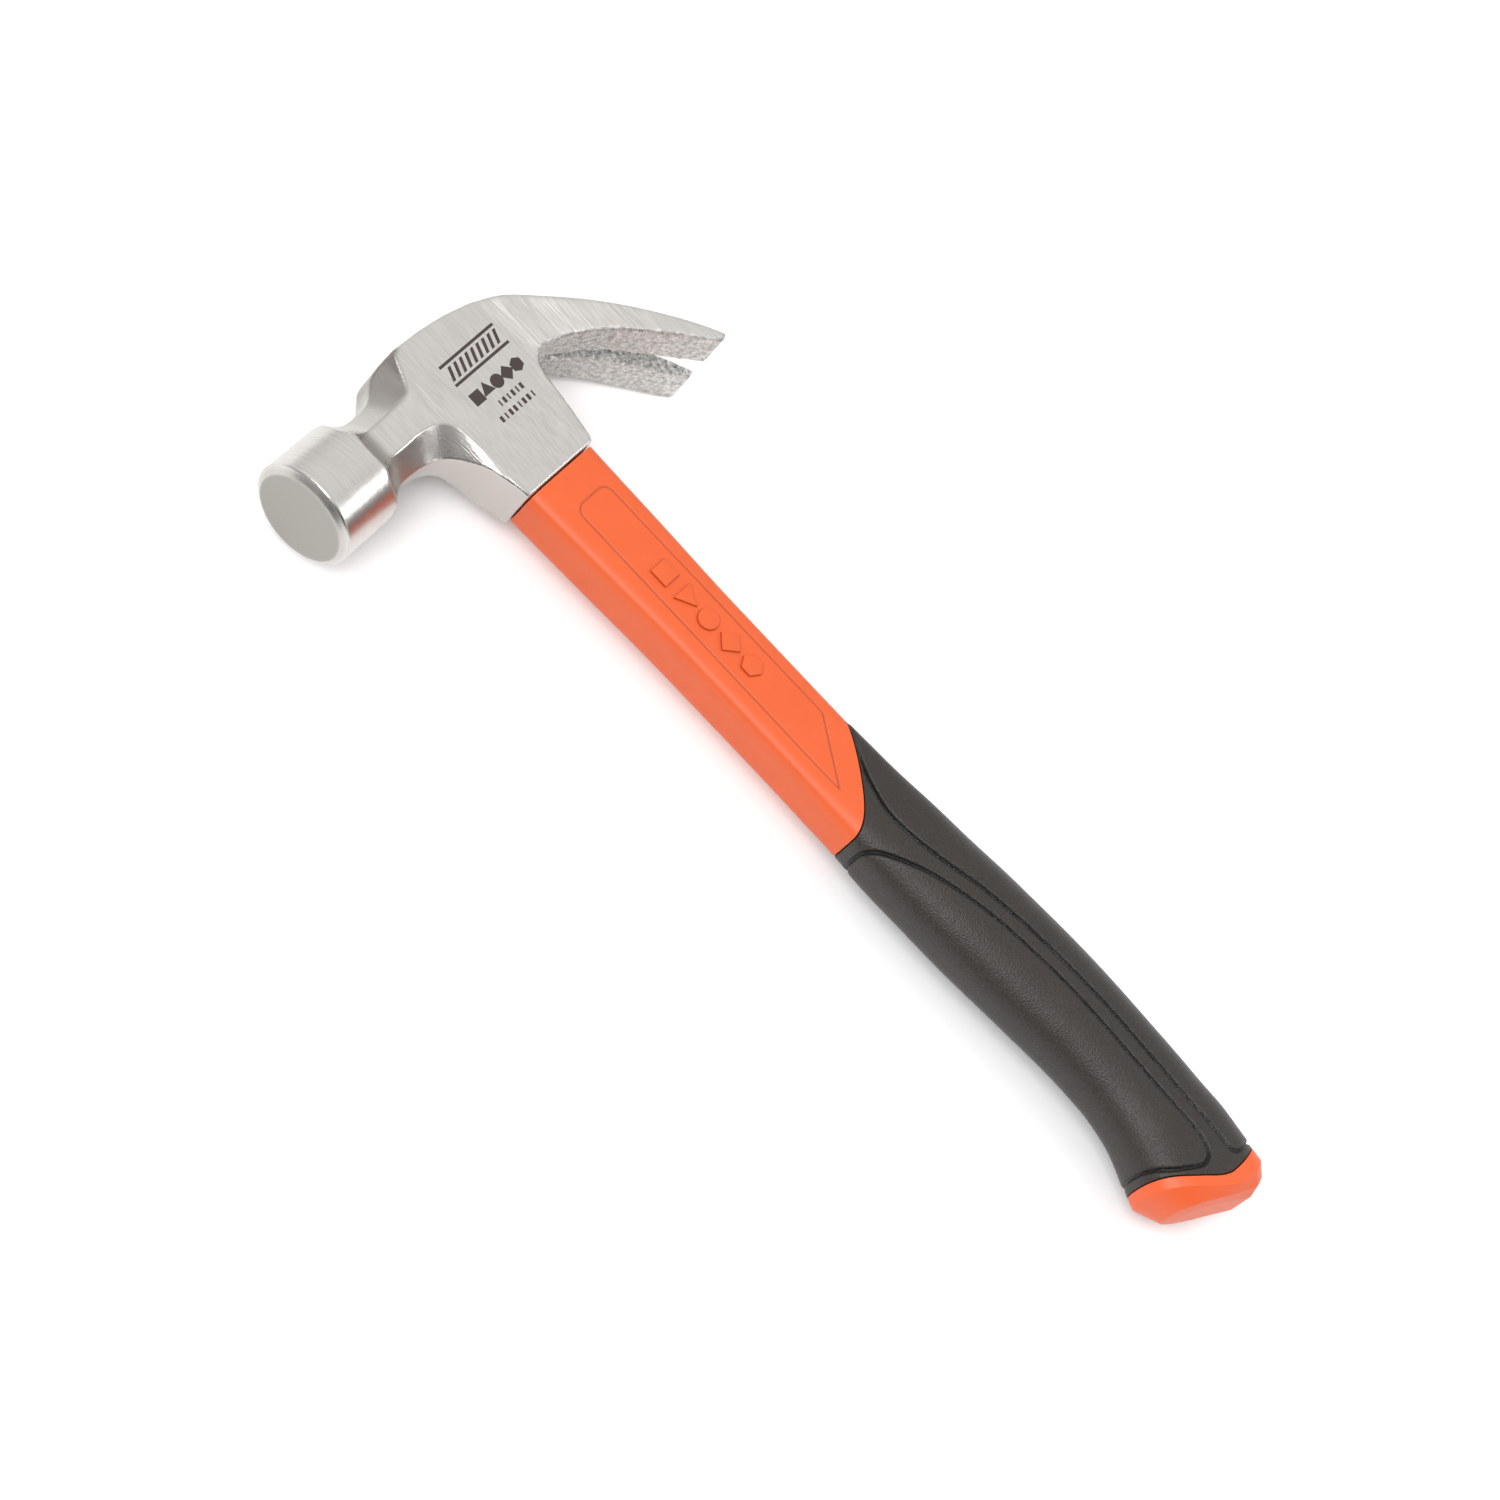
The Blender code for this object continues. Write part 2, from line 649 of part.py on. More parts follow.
def main():
    for thing in list(bpy.data.objects):
        bpy.data.objects.remove(thing, do_unlink=True)
    orange = (0.93, 0.17, 0.05)
    pieces = [
        make_head(material("ground_steel", (0.56, 0.56, 0.54), 0.35, 1.0)),
        make_core(material("glass_fibre", (0.72, 0.62, 0.33), 0.4)),
        make_bond(material("epoxy_resin", (0.09, 0.08, 0.07), 0.3)),
        make_jacket(material("orange_polypropylene", orange, 0.45)),
        make_grip(material("black_rubber", (0.06, 0.055, 0.05), 0.7)),
        make_butt_cap(material("butt_polypropylene", orange, 0.4)),
    ]
    set_down(pieces)


main()
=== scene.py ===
"""The looks of a 20 oz claw hammer that lies on its side: forged and belt-ground steel head, moulded jacket,
grained rubber grip and butt cap. Everything rides on the one CAD body.

Shapes are worked out in millimetres from the foot of the head, where the jacket starts: x runs to the butt,
y towards the claws and z up through the near cheek, with the handle's middle at y = 0 and z = 0.
"""

import math

import bmesh
import bpy
import numpy as np
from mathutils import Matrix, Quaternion, Vector, noise
from mathutils.bvhtree import BVHTree


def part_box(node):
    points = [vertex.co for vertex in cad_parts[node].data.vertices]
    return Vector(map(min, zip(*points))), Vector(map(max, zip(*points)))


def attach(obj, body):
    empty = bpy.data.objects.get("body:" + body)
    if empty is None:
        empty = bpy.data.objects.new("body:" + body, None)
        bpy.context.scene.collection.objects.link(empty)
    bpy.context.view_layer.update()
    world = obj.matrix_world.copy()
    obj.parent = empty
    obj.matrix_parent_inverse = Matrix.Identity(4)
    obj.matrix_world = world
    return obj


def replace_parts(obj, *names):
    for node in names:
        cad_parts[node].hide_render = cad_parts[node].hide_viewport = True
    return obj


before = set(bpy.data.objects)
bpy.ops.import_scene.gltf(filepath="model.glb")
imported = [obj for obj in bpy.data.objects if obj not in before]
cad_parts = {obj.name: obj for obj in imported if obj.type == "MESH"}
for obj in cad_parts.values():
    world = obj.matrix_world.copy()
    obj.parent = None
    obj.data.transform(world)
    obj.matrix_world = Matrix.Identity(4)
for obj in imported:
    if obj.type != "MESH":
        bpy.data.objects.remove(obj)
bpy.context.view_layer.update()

MM = 0.001
GAP = 0.3  # clearance between the CAD pieces

# Driving sizes, from the frame
head_low, head_high = (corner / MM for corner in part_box("head"))
core_low, core_high = (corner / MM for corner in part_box("handle_core"))
cap_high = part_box("butt_cap")[1] / MM
foot_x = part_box("jacket")[0].x / MM - GAP
ORIGIN = np.array([foot_x, (core_low.y + core_high.y) / 2, (core_low.z + core_high.z) / 2])
HANDLE_LENGTH = cap_high.x - foot_x
CROWN_HEIGHT = foot_x - head_low.x
FACE_REACH = ORIGIN[1] - head_low.y
CLAW_REACH = head_high.y - ORIGIN[1]
CORE_DEPTH = core_high.y - core_low.y
CORE_WIDTH = core_high.z - core_low.z

# Head
CHEEK_HALF, CHEEK_HALF_DEPTH = 11.7, 14.2
BELL_AXIS, BELL_RADIUS, BELL_REAR_RADIUS = 37.7, 16.5, 16.1
FACE_RADIUS, FACE_CHAMFER = 14.2, 1.8
NECK_NEAR, NECK_TOP, NECK_FOOT = 11.4, 10.8, 11.5
NECK_FLARE_START, NECK_FLARE_RADIUS, NECK_FLARE_MOST = 37.0, 8.0, 22.0
OCTAGON = math.tan(math.radians(22.5))
CHEEK_HALF_AT_FOOT, CHEEK_TAPER_HEIGHT = 9.7, 28.0
CLAW_DROP, CLAW_TIP_HALF = 2.4, 19.9
EDGE_CHAMFER = 0.6
SLOT_TIP_HALF, SLOT_ROOT_HALF, SLOT_ROOT_REACH, SLOT_LEAN = 4.9, 0.9, 27.5, 8.0
BOND_WAIST, BOND_FOOT, BOND_TOP = 1.1, 1.5, 2.9  # room for resin around the core
EYE_WAIST_HEIGHT = 26.0
CLEAR = 20.0  # how far the cutters reach past the head
CLEAR_RADIUS = 120.0

# Handle: outlines as (place, distance), where places run from -1 at the head over 0 at the grip to 1
JACKET_LENGTH = 103.0
TONGUE_LENGTH, TONGUE_CURVE = 26.7, 1.5
SLEEVE_WALL, SLEEVE_END_MARGIN = 1.8, 20.5
SOCKET_DEPTH = 6.0
CORE_SQUARENESS = 2.6
BACK_LINE = [
    (-1.0, 14.0), (-0.72, 13.6), (-0.43, 13.0), (0.0, 13.1), (0.085, 13.8), (0.22, 16.2),
    (0.385, 18.7), (0.55, 19.8), (0.714, 19.1), (0.856, 17.4), (0.93, 15.2), (1.04, 12.4),
]
FRONT_LINE = [
    (-1.0, 14.0), (-0.72, 13.1), (-0.43, 12.1), (0.0, 11.8), (0.11, 12.3),
    (0.28, 13.8), (0.385, 13.6), (0.52, 12.4), (0.645, 11.4), (0.714, 11.8),
    (0.776, 13.6), (0.844, 18.2), (0.886, 21.2), (0.923, 22.7), (1.04, 23.2),
]
THICKNESS_LINE = [
    (-1.0, 9.5), (0.0, 9.5), (0.09, 9.9), (0.25, 11.9), (0.41, 12.6), (0.58, 12.6),
    (0.714, 12.2), (0.80, 12.6), (0.87, 13.6), (0.93, 14.1), (1.04, 13.8),
]
SQUARENESS_LINE = [
    (-1.0, 5.5), (0.0, 5.5), (0.165, 3.4), (0.31, 2.5), (0.80, 2.4), (0.87, 2.6), (1.04, 2.8),
]
# The butt cap's start and its facets' start, as (y, distance from the butt)
CAP_LINE = [
    (-22.0, 25.6), (-16.0, 21.4), (-9.0, 15.1), (-3.0, 10.4), (0.0, 9.3), (6.0, 9.0), (15.0, 9.6),
]
FACET_LINE = [
    (-22.0, 21.6), (-16.0, 17.4), (-9.0, 11.2), (-3.0, 6.7), (0.0, 5.4), (6.0, 4.8), (15.0, 5.6),
]
BUTT_TIP, BUTT_SLOPE, BUTT_BACK_SLOPE = 3.0, 29.2, 10.0
BUTT_FACE_FRONT_SHARE, BUTT_FACE_BACK_SHARE, BUTT_FACE_WIDTH_SHARE = 0.6, 0.72, 0.45
BUTT_SHOULDER_UP, BUTT_SHOULDER_IN = 0.76, 0.42

# Relief moulded into the handle
PANEL_FRONT, PANEL_BACK = -5.6, 7.4  # edges of the panel on the jacket's flat sides
PANEL_START, PANEL_CORNER = 10.8, 3.2
PANEL_END_BACK, PANEL_END_FRONT = 98.5, 117.0  # its end slants
PANEL_FLAT = (8.4, 9.1)  # the panel's line starts and is whole this far from the middle plane
PANEL_LINE_DEPTH, PANEL_LINE_WIDTH = 0.35, 0.6
SIGN_PLACES = [40.4 + 8.8 * index for index in range(5)]
SIGN_Y, SIGN_SIZE, SIGN_RISE = 1.0, 7.0, 0.8
# Where the rubber's two pads end, as (x, y) on both sides
BACK_PAD = [
    (100.0, 16.0), (107.4, 10.6), (111.4, 8.0), (117.6, 4.6), (123.5, 2.2), (130.3, 0.2),
    (137.0, -0.2), (144.0, 0.4), (152.8, 1.9), (165.0, 4.6), (184.5, 6.9), (209.3, 7.8),
    (231.3, 7.2), (248.0, 6.0), (258.2, 5.0), (263.2, 4.4), (265.4, 5.4), (266.0, 8.0),
    (266.0, 12.0), (266.0, 40.0), (100.0, 40.0), (100.0, 18.0),
]
FRONT_PAD = [
    (133.5, -40.0), (133.5, -18.0), (133.5, -15.0), (133.8, -13.1), (135.4, -11.7), (138.6, -9.7),
    (145.2, -6.6), (153.0, -3.6), (166.6, -0.3), (180.4, 1.7), (199.1, 2.9), (221.0, 2.6),
    (240.6, 1.6), (251.0, 0.8), (256.5, -0.4), (259.8, -2.2), (261.0, -4.6), (260.2, -7.6),
    (256.3, -12.9), (252.6, -16.3), (250.4, -18.6), (249.6, -20.6), (249.5, -24.0), (249.5, -40.0),
]
PAD_RISE = 0.25
PAD_LINE_DEPTH, PAD_LINE_WIDTH = 1.2, 1.15

# The etched pattern on the near cheek, as heights above the foot
BAR_HEIGHT, BAR_HALF = 39.6, 3.3
SIGN_ROW, UPPER_DASHES, LOWER_DASHES = 30.0, 24.7, 21.0

# How finely the pieces are made: points around the handle, and the space between its rings
JACKET_AROUND, JACKET_RINGS = 280, 0.39
GRIP_AROUND, GRIP_RINGS = 316, 0.54
BUTT_AROUND, BUTT_RINGS = 240, 0.5
BELL_AROUND, EYE_AROUND = 360, 96
HEAD_MESH = 0.53  # size of the faces that the head is made of
LIP = 0.5  # the fine rings end this far from a moulding's edges
MOULDED_EDGE, TONGUE_EDGE, CAP_EDGE, FACET_EDGE = 0.45, 0.4, 0.4, 0.3  # radii


def smooth(points, at):
    """The value at `at` of a smooth curve through (place, value) points, by monotone cubic steps."""
    if at <= points[0][0]:
        return points[0][1]
    if at >= points[-1][0]:
        return points[-1][1]
    slopes = [(b[1] - a[1]) / (b[0] - a[0]) for a, b in zip(points, points[1:])]
    tangents = [slopes[0]]
    for before, after in zip(slopes, slopes[1:]):
        tangents.append(0.0 if before * after <= 0 else 2 * before * after / (before + after))
    tangents.append(slopes[-1])
    index = next(i for i, high in enumerate(points[1:]) if at <= high[0])
    low, high = points[index], points[index + 1]
    span = high[0] - low[0]
    t = (at - low[0]) / span
    return (
        (2 * t**3 - 3 * t**2 + 1) * low[1]
        + (t**3 - 2 * t**2 + t) * span * tangents[index]
        + (-2 * t**3 + 3 * t**2) * high[1]
        + (t**3 - t**2) * span * tangents[index + 1]
    )


def spline(p, q, r, s, t):
    """The point a share t of the way from q to r, on a smooth curve through all four."""
    bend = 2 * p - 5 * q + 4 * r - s
    return tuple(0.5 * (2 * q + (r - p) * t + bend * t**2 + (3 * q - p - 3 * r + s) * t**3))


def ramp(low, high, values):
    """0 below low, 1 above high and a smooth step between."""
    t = np.clip((values - low) / (high - low), 0.0, 1.0)
    return t * t * (3 - 2 * t)


def oval(depth, width, squareness, around):
    """(y, z) points evenly spaced along a squared oval, from its back over the near side."""
    angle = np.linspace(0.0, 2 * math.pi, 2881)
    across, up = np.cos(angle), np.sin(angle)
    y = np.sign(across) * np.abs(across) ** (2 / squareness) * depth / 2
    z = np.sign(up) * np.abs(up) ** (2 / squareness) * width / 2
    length = np.concatenate([[0.0], np.cumsum(np.hypot(np.diff(y), np.diff(z)))])
    even = np.linspace(0.0, length[-1], around + 1)[:-1]
    return np.interp(even, length, y), np.interp(even, length, z)


def show(name, points, faces, finish, sharp_degrees=None, painted_shade=None):
    """Makes a piece of the hammer from points in millimetres. Optional shares per point give how much shade
    the finish paints there: painted shade deep in a moulded line, and along the foot of a raised sign."""
    mesh = bpy.data.meshes.new(name)
    mesh.from_pydata(((np.asarray(points) + ORIGIN) * MM).tolist(), [], faces)
    if painted_shade is not None:
        layer = mesh.attributes.new("painted_shade", "FLOAT", "POINT")
        layer.data.foreach_set("value", np.asarray(painted_shade, np.float32))
    work = bmesh.new()
    work.from_mesh(mesh)
    bmesh.ops.recalc_face_normals(work, faces=work.faces)
    work.to_mesh(mesh)
    work.free()
    return mount(name, mesh, finish, sharp_degrees)


def mount(name, mesh, finish, sharp_degrees=None):
    """Gives a mesh its finish, and lets it ride on the body."""
    mesh.shade_smooth()
    if sharp_degrees:
        mesh.set_sharp_from_angle(angle=math.radians(sharp_degrees))
    mesh.materials.clear()
    mesh.materials.append(finish)
    piece = bpy.data.objects.new(name, mesh)
    bpy.context.scene.collection.objects.link(piece)
    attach(piece, "root")
    return piece


def ring_faces(rings, around, closed):
    """The faces between rings of points, and where closed, from the last ring back to the first."""
    faces = []
    for ring in range(rings if closed else rings - 1):
        low, high = ring * around, (ring + 1) % rings * around
        for side in range(around):
            after = (side + 1) % around
            faces.append((low + side, low + after, high + after, high + side))
    return faces


def add_block(points, faces, rings):
    """Adds a closed block, made of equal rings from its foot to its top, to a piece's points and faces."""
    first, around = len(points), len(rings[0])
    for ring in rings:
        points.extend(ring)
    block = ring_faces(len(rings), around, closed=False)
    block += [tuple(range(around)), tuple((len(rings) - 1) * around + side for side in range(around))]
    faces.extend(tuple(first + corner for corner in face) for face in block)


def shares_of_rings(before, grid_values, after, around):
    """Values for a piece whose fine grid of rings has plain rings before and after it."""
    return np.concatenate([np.zeros(before * around), grid_values.ravel(), np.zeros(after * around)])


def rounded(rings, radius, steps=4):
    """Replaces each ring between the first and the last by a few that turn its corner with this radius."""
    made = [rings[0]]
    for before, ring, after in zip(rings, rings[1:], rings[2:]):
        arms = []
        for other in (before, after):
            arm = other - ring
            length = np.linalg.norm(arm, axis=1, keepdims=True)
            arms.append(arm / np.maximum(length, 1e-9) * np.minimum(radius, length * 0.45))
        for step in range(steps + 1):
            t = step / steps
            made.append(ring + arms[0] * (1 - t) ** 2 + arms[1] * t**2)
    return made + [rings[-1]]


# Handle


class Skin:
    """The handle's outer surface, as points spaced evenly around each of many sections."""

    def __init__(self, around):
        self.around = around
        self.places = np.linspace(0.0, HANDLE_LENGTH + 8.0, 420)
        sections = []
        for x in self.places:
            place = x / JACKET_LENGTH - 1.0
            if x > JACKET_LENGTH:
                place = (x - JACKET_LENGTH) / (HANDLE_LENGTH - JACKET_LENGTH)
            back, front = smooth(BACK_LINE, place), smooth(FRONT_LINE, place)
            width, squareness = 2 * smooth(THICKNESS_LINE, place), smooth(SQUARENESS_LINE, place)
            y, z = oval(back + front, width, squareness, around)
            sections.append((y + (back - front) / 2, z))
        self.y = np.array([section[0] for section in sections])
        self.z = np.array([section[1] for section in sections])

    def ring(self, x):
        """The ring whose point on each side lies at that side's x."""
        y = [np.interp(x[side], self.places, self.y[:, side]) for side in range(self.around)]
        z = [np.interp(x[side], self.places, self.z[:, side]) for side in range(self.around)]
        return np.stack([x, y, z], axis=1)

    def cut(self, edge):
        """The x of each side where the skin meets an edge, given as x for each y."""
        x = np.full(self.around, edge(0.0))
        for _ in range(12):
            x = np.array([edge(y) for y in self.ring(x)[:, 1]])
        return x

    def grid(self, first, last, spacing):
        """Rings of the skin between two edges, this far apart where the edges are furthest apart."""
        count = int(np.max(last - first) / spacing)
        return np.array([self.ring(first + (last - first) * index / count) for index in range(count + 1)])

    def bore(self, edge, clearance):
        """A ring around the core, this far off it, whose points lie at the edge's x."""
        y, z = oval(CORE_DEPTH + 2 * clearance, CORE_WIDTH + 2 * clearance, CORE_SQUARENESS, self.around)
        return np.stack([[edge(value) for value in y], y, z], axis=1)


def tongue_x(y):
    """Where the jacket ends and the grip starts, which is further along at the handle's front."""
    back, front = smooth(BACK_LINE, 0.0), smooth(FRONT_LINE, 0.0)
    share = min(max((y + front) / (back + front), 0.0), 1.0)
    return JACKET_LENGTH + TONGUE_LENGTH * (1 - share**TONGUE_CURVE)


def cap_x(y):
    return HANDLE_LENGTH - smooth(CAP_LINE, y)


def facet_x(y):
    return HANDLE_LENGTH - smooth(FACET_LINE, y)


def end_x(y):
    """The butt's end, two slopes that meet at its tip."""
    slope = BUTT_SLOPE if y < BUTT_TIP else BUTT_BACK_SLOPE
    return HANDLE_LENGTH - math.tan(math.radians(slope)) * abs(y - BUTT_TIP)


def moved(edge, distance):
    """An edge moved along the handle until the space between the two is this wide, on slopes too."""
    return lambda y: edge(y) + distance * math.hypot(1.0, edge(y + 0.5) - edge(y - 0.5))


def raised(grid, height):
    """The rings pushed outwards by a height for each of their points."""
    along = np.gradient(grid, axis=0)
    around = np.roll(grid, -1, axis=1) - np.roll(grid, 1, axis=1)
    out = np.cross(around, along)
    out /= np.maximum(np.linalg.norm(out, axis=2, keepdims=True), 1e-9)
    centre = grid.mean(axis=1, keepdims=True)
    if np.sum(out * (grid - centre)) < 0:
        out = -out
    return grid + out * height[..., None]


def outline_distance(x, y, outline):
    """How far points lie from a closed outline: negative inside it."""
    best = np.full(x.shape, 1e9)
    inside = np.zeros(x.shape, bool)
    for (ax, ay), (bx, by) in zip(outline, outline[1:] + outline[:1]):
        dx, dy = bx - ax, by - ay
        t = np.clip(((x - ax) * dx + (y - ay) * dy) / (dx * dx + dy * dy), 0.0, 1.0)
        best = np.minimum(best, np.hypot(x - ax - t * dx, y - ay - t * dy))
        crosses = (ay > y) != (by > y)
        inside ^= crosses & (x < ax + (y - ay) / np.where(dy == 0, 1e-9, dy) * dx)
    return np.where(inside, -best, best)


def curve_through(points, steps=6):
    """A smooth closed outline through points."""
    curve = []
    count = len(points)
    for index in range(count):
        p, q, r, s = (np.array(points[(index + shift) % count]) for shift in (-1, 0, 1, 2))
        curve += [spline(p, q, r, s, step / steps) for step in range(steps)]
    return curve


def panel_outline():
    """The panel's outline, with round corners at the head's end and sharp ones where it slants."""
    radius, steps = PANEL_CORNER, 6
    points = []
    for centre_y, turn in ((PANEL_FRONT + radius, math.pi), (PANEL_BACK - radius, math.pi / 2)):
        for step in range(steps + 1):
            angle = turn + (math.pi / 2) * (1 - step / steps)
            x = PANEL_START + radius + radius * math.cos(angle)
            points.append((x, centre_y + radius * math.sin(angle)))
    return points + [(PANEL_END_BACK, PANEL_BACK + 0.2), (PANEL_END_FRONT, PANEL_FRONT - 0.2)]


def groove(distance, width):
    """A round-bottomed groove's depth share at a distance from its middle."""
    return np.exp(-((distance / (width / 2)) ** 2) * 1.6)


def make_jacket(finish):
    skin = Skin(JACKET_AROUND)
    start, end = skin.cut(lambda y: GAP), skin.cut(tongue_x)
    grid = skin.grid(start + LIP, end - LIP, JACKET_RINGS)
    x, y, z = grid[..., 0], grid[..., 1], grid[..., 2]
    line = groove(outline_distance(x, y, panel_outline()), PANEL_LINE_WIDTH)
    line *= ramp(*PANEL_FLAT, np.abs(z))
    grid = raised(grid, -PANEL_LINE_DEPTH * line)
    sleeve_end = HANDLE_LENGTH - SLEEVE_END_MARGIN
    foot = skin.bore(lambda y: GAP, GAP)
    rings = rounded([foot, skin.ring(start), grid[0]], MOULDED_EDGE)[:-1]
    before = len(rings)
    tip = skin.bore(tongue_x, GAP + SLEEVE_WALL)
    rings += list(grid) + rounded([grid[-1], skin.ring(end), tip], TONGUE_EDGE)[1:]
    rings += [skin.bore(lambda y: sleeve_end, GAP + SLEEVE_WALL), skin.bore(lambda y: sleeve_end, GAP)]
    faces = ring_faces(len(rings), skin.around, closed=True)
    # The panel line's depth also sets the painted shade in it
    painted_shade = shares_of_rings(before, line, len(rings) - before - len(grid), skin.around)
    piece = show("moulded_jacket", np.concatenate(rings), faces, finish, painted_shade=painted_shade)
    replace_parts(piece, "jacket")


def make_panel_signs(finish):
    """Plain signs that stand up from both panels, each a low block with round edges and painted shade on its
    sides.
    """
    points, faces, painted_shade = [], [], []
    # Rings up a block's side and over its round edge, as (how far in, how far up, how much painted shade)
    rings = [
        (-0.15, -0.3, 0.75),
        (-0.15, 0.05, 0.75),
        (0.0, SIGN_RISE - 0.2, 0.45),
        (0.06, SIGN_RISE - 0.06, 0.0),
        (0.2, SIGN_RISE, 0.0),
    ]
    for face in (-1, 1):
        for place, sign in zip(SIGN_PLACES, plain_signs(SIGN_SIZE)):
            floor = smooth(THICKNESS_LINE, place / JACKET_LENGTH - 1.0)
            block = []
            for shrink, rise, dark in rings:
                shares = [1 - shrink / math.hypot(dx, dy) * 1.2 for dx, dy in sign]
                z = face * (floor + rise)
                block.append([(place + dx * k, SIGN_Y + dy * k, z) for (dx, dy), k in zip(sign, shares)])
                # The block's sides carry painted shade where they stand on the panel
                painted_shade += [dark] * len(sign)
            add_block(points, faces, block)
    show("panel_signs", points, faces, finish, sharp_degrees=40, painted_shade=painted_shade)


def make_grip(finish):
    skin = Skin(GRIP_AROUND)
    first, last = moved(tongue_x, GAP), moved(cap_x, -GAP)
    start, end = skin.cut(first), skin.cut(last)
    grid = skin.grid(start + LIP, end - LIP, GRIP_RINGS)
    x, y = grid[..., 0], grid[..., 1]
    relief, line = np.zeros(x.shape), np.zeros(x.shape)
    for outline in (BACK_PAD, FRONT_PAD):
        distance = outline_distance(x, y, curve_through(outline))
        relief += PAD_RISE * ramp(0.3, -0.9, distance)
        line = np.maximum(line, groove(distance, PAD_LINE_WIDTH))
    relief -= PAD_LINE_DEPTH * line
    # The relief dies out at both ends, so that the rubber meets the jacket and the cap flush
    inland = ramp(0.4, 1.2, np.minimum(x - start, end - x))
    grid = raised(grid, relief * inland)
    bore = GAP + SLEEVE_WALL + GAP
    rings = rounded([skin.bore(first, bore), skin.ring(start), grid[0]], MOULDED_EDGE)[:-1]
    before = len(rings)
    rings += list(grid)
    rings += rounded([grid[-1], skin.ring(end), skin.bore(last, bore)], MOULDED_EDGE)[1:]
    faces = ring_faces(len(rings), skin.around, closed=True)
    # The grooves between the pads get painted shade, stronger than their depth alone
    dark = np.minimum(line * inland * 1.7, 1.0)
    painted_shade = shares_of_rings(before, dark, len(rings) - before - len(grid), skin.around)
    piece = show("rubber_grip", np.concatenate(rings), faces, finish, painted_shade=painted_shade)
    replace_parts(piece, "grip")


def make_butt_cap(finish):
    skin = Skin(BUTT_AROUND)
    start, facet = skin.cut(cap_x), skin.ring(skin.cut(facet_x))
    middle = (smooth(BACK_LINE, 1.0) - smooth(FRONT_LINE, 1.0)) / 2
    share = np.where(facet[:, 1] < middle, BUTT_FACE_FRONT_SHARE, BUTT_FACE_BACK_SHARE)
    face = facet.copy()
    face[:, 1] = middle + (facet[:, 1] - middle) * share
    face[:, 2] *= BUTT_FACE_WIDTH_SHARE
    face[:, 0] = [end_x(y) for y in face[:, 1]]
    shares = np.array([BUTT_SHOULDER_UP, BUTT_SHOULDER_IN, BUTT_SHOULDER_IN])
    shoulder = facet + (face - facet) * shares
    inner = face * np.array([1.0, 1.0, 0.5])
    wall = skin.grid(start + CAP_EDGE, facet[:, 0] - 0.2, BUTT_RINGS)
    sleeve = GAP + SLEEVE_WALL
    boss = HANDLE_LENGTH - SLEEVE_END_MARGIN + GAP
    rings = [skin.bore(lambda y: boss + SOCKET_DEPTH, GAP), skin.bore(lambda y: boss, GAP)]
    rings.append(skin.bore(lambda y: boss, sleeve))
    rings += rounded([skin.bore(cap_x, sleeve), skin.ring(start), wall[0]], CAP_EDGE)[:-1]
    rings += list(wall[:-1]) + rounded([wall[-1], facet, shoulder, face, inner], FACET_EDGE)[1:]
    faces = ring_faces(len(rings), skin.around, closed=False)
    faces.append(tuple(range(skin.around)))
    # The end face is filled across its two halves, so that each strip keeps the slope
    last = (len(rings) - 1) * skin.around
    for side in range(skin.around // 2):
        across = [last + (-side - 1) % skin.around, last + (-side) % skin.around]
        faces.append(tuple(dict.fromkeys([last + side, last + side + 1] + across)))
    piece = show("moulded_butt_cap", np.concatenate(rings), faces, finish, sharp_degrees=50)
    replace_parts(piece, "butt_cap")


# Head


def averaged(values, edges, rounds):
    """Values at the mesh's points, moved halfway to the average of their neighbours' in each round."""
    values = np.array(values, float)
    flat = values.reshape(len(values), -1)
    count = np.bincount(edges.ravel(), minlength=len(flat))[:, None]
    for _ in range(rounds):
        total = np.zeros_like(flat)
        for column in range(flat.shape[1]):
            for a, b in ((0, 1), (1, 0)):
                total[:, column] += np.bincount(edges[:, a], flat[edges[:, b], column], len(flat))
        flat += (total / np.maximum(count, 1) - flat) * 0.5
    return flat.reshape(values.shape)


def catmull(points, steps):
    """Points of a smooth curve through the given tuples, with `steps` of them to each span."""
    ends = [points[0]] + list(points) + [points[-1]]
    curve = []
    for p, q, r, s in zip(*(np.array(ends[shift : len(ends) - 3 + shift]) for shift in range(4))):
        curve += [spline(p, q, r, s, step / steps) for step in range(steps)]
    return curve + [points[-1]]


def side_half(y, height):
    """Half the head's thickness at a place on its side: cheeks that taper to the foot, claws that flare."""
    taper = min(max(height, 0) / CHEEK_TAPER_HEIGHT, 1)
    cheek = CHEEK_HALF_AT_FOOT + (CHEEK_HALF - CHEEK_HALF_AT_FOOT) * taper
    flare = CLAW_TIP_HALF - CHEEK_HALF
    shares = [(0.0, 0.0), (0.24, 0.23), (0.45, 0.52), (0.70, 0.79), (1.0, 1.0)]
    reach = (y - CHEEK_HALF_DEPTH) / (CLAW_REACH - CHEEK_HALF_DEPTH)
    claws = smooth([(place, CHEEK_HALF + share * flare) for place, share in shares], reach)
    share = float(ramp(CHEEK_HALF_DEPTH, CHEEK_HALF_DEPTH + 8.0, y))
    return cheek * (1 - share) + claws * share


def neck_rung(y, side):
    """One rung of the eight-sided neck. The side is 1 above the bell's axis and -1 below it."""
    past = max(-y - NECK_FLARE_START, 0.0)
    flare = min(past**2 / (2 * NECK_FLARE_RADIUS), NECK_FLARE_MOST - NECK_NEAR)
    reach = (NECK_TOP if side > 0 else NECK_FOOT) + flare
    near = NECK_NEAR + flare
    return y, BELL_AXIS + side * reach, OCTAGON * near, y, BELL_AXIS + side * OCTAGON * near, near


def neck_rungs(side):
    """The neck's rungs, from inside the bell to where the flare ends."""
    flared = (10.0, 7.5, 5.0, 2.5, 0.0)
    rungs = [neck_rung(y, side) for y in (-FACE_REACH - 3.0, -NECK_FLARE_START - 13.0)]
    return rungs + [neck_rung(-NECK_FLARE_START - past, side) for past in flared]


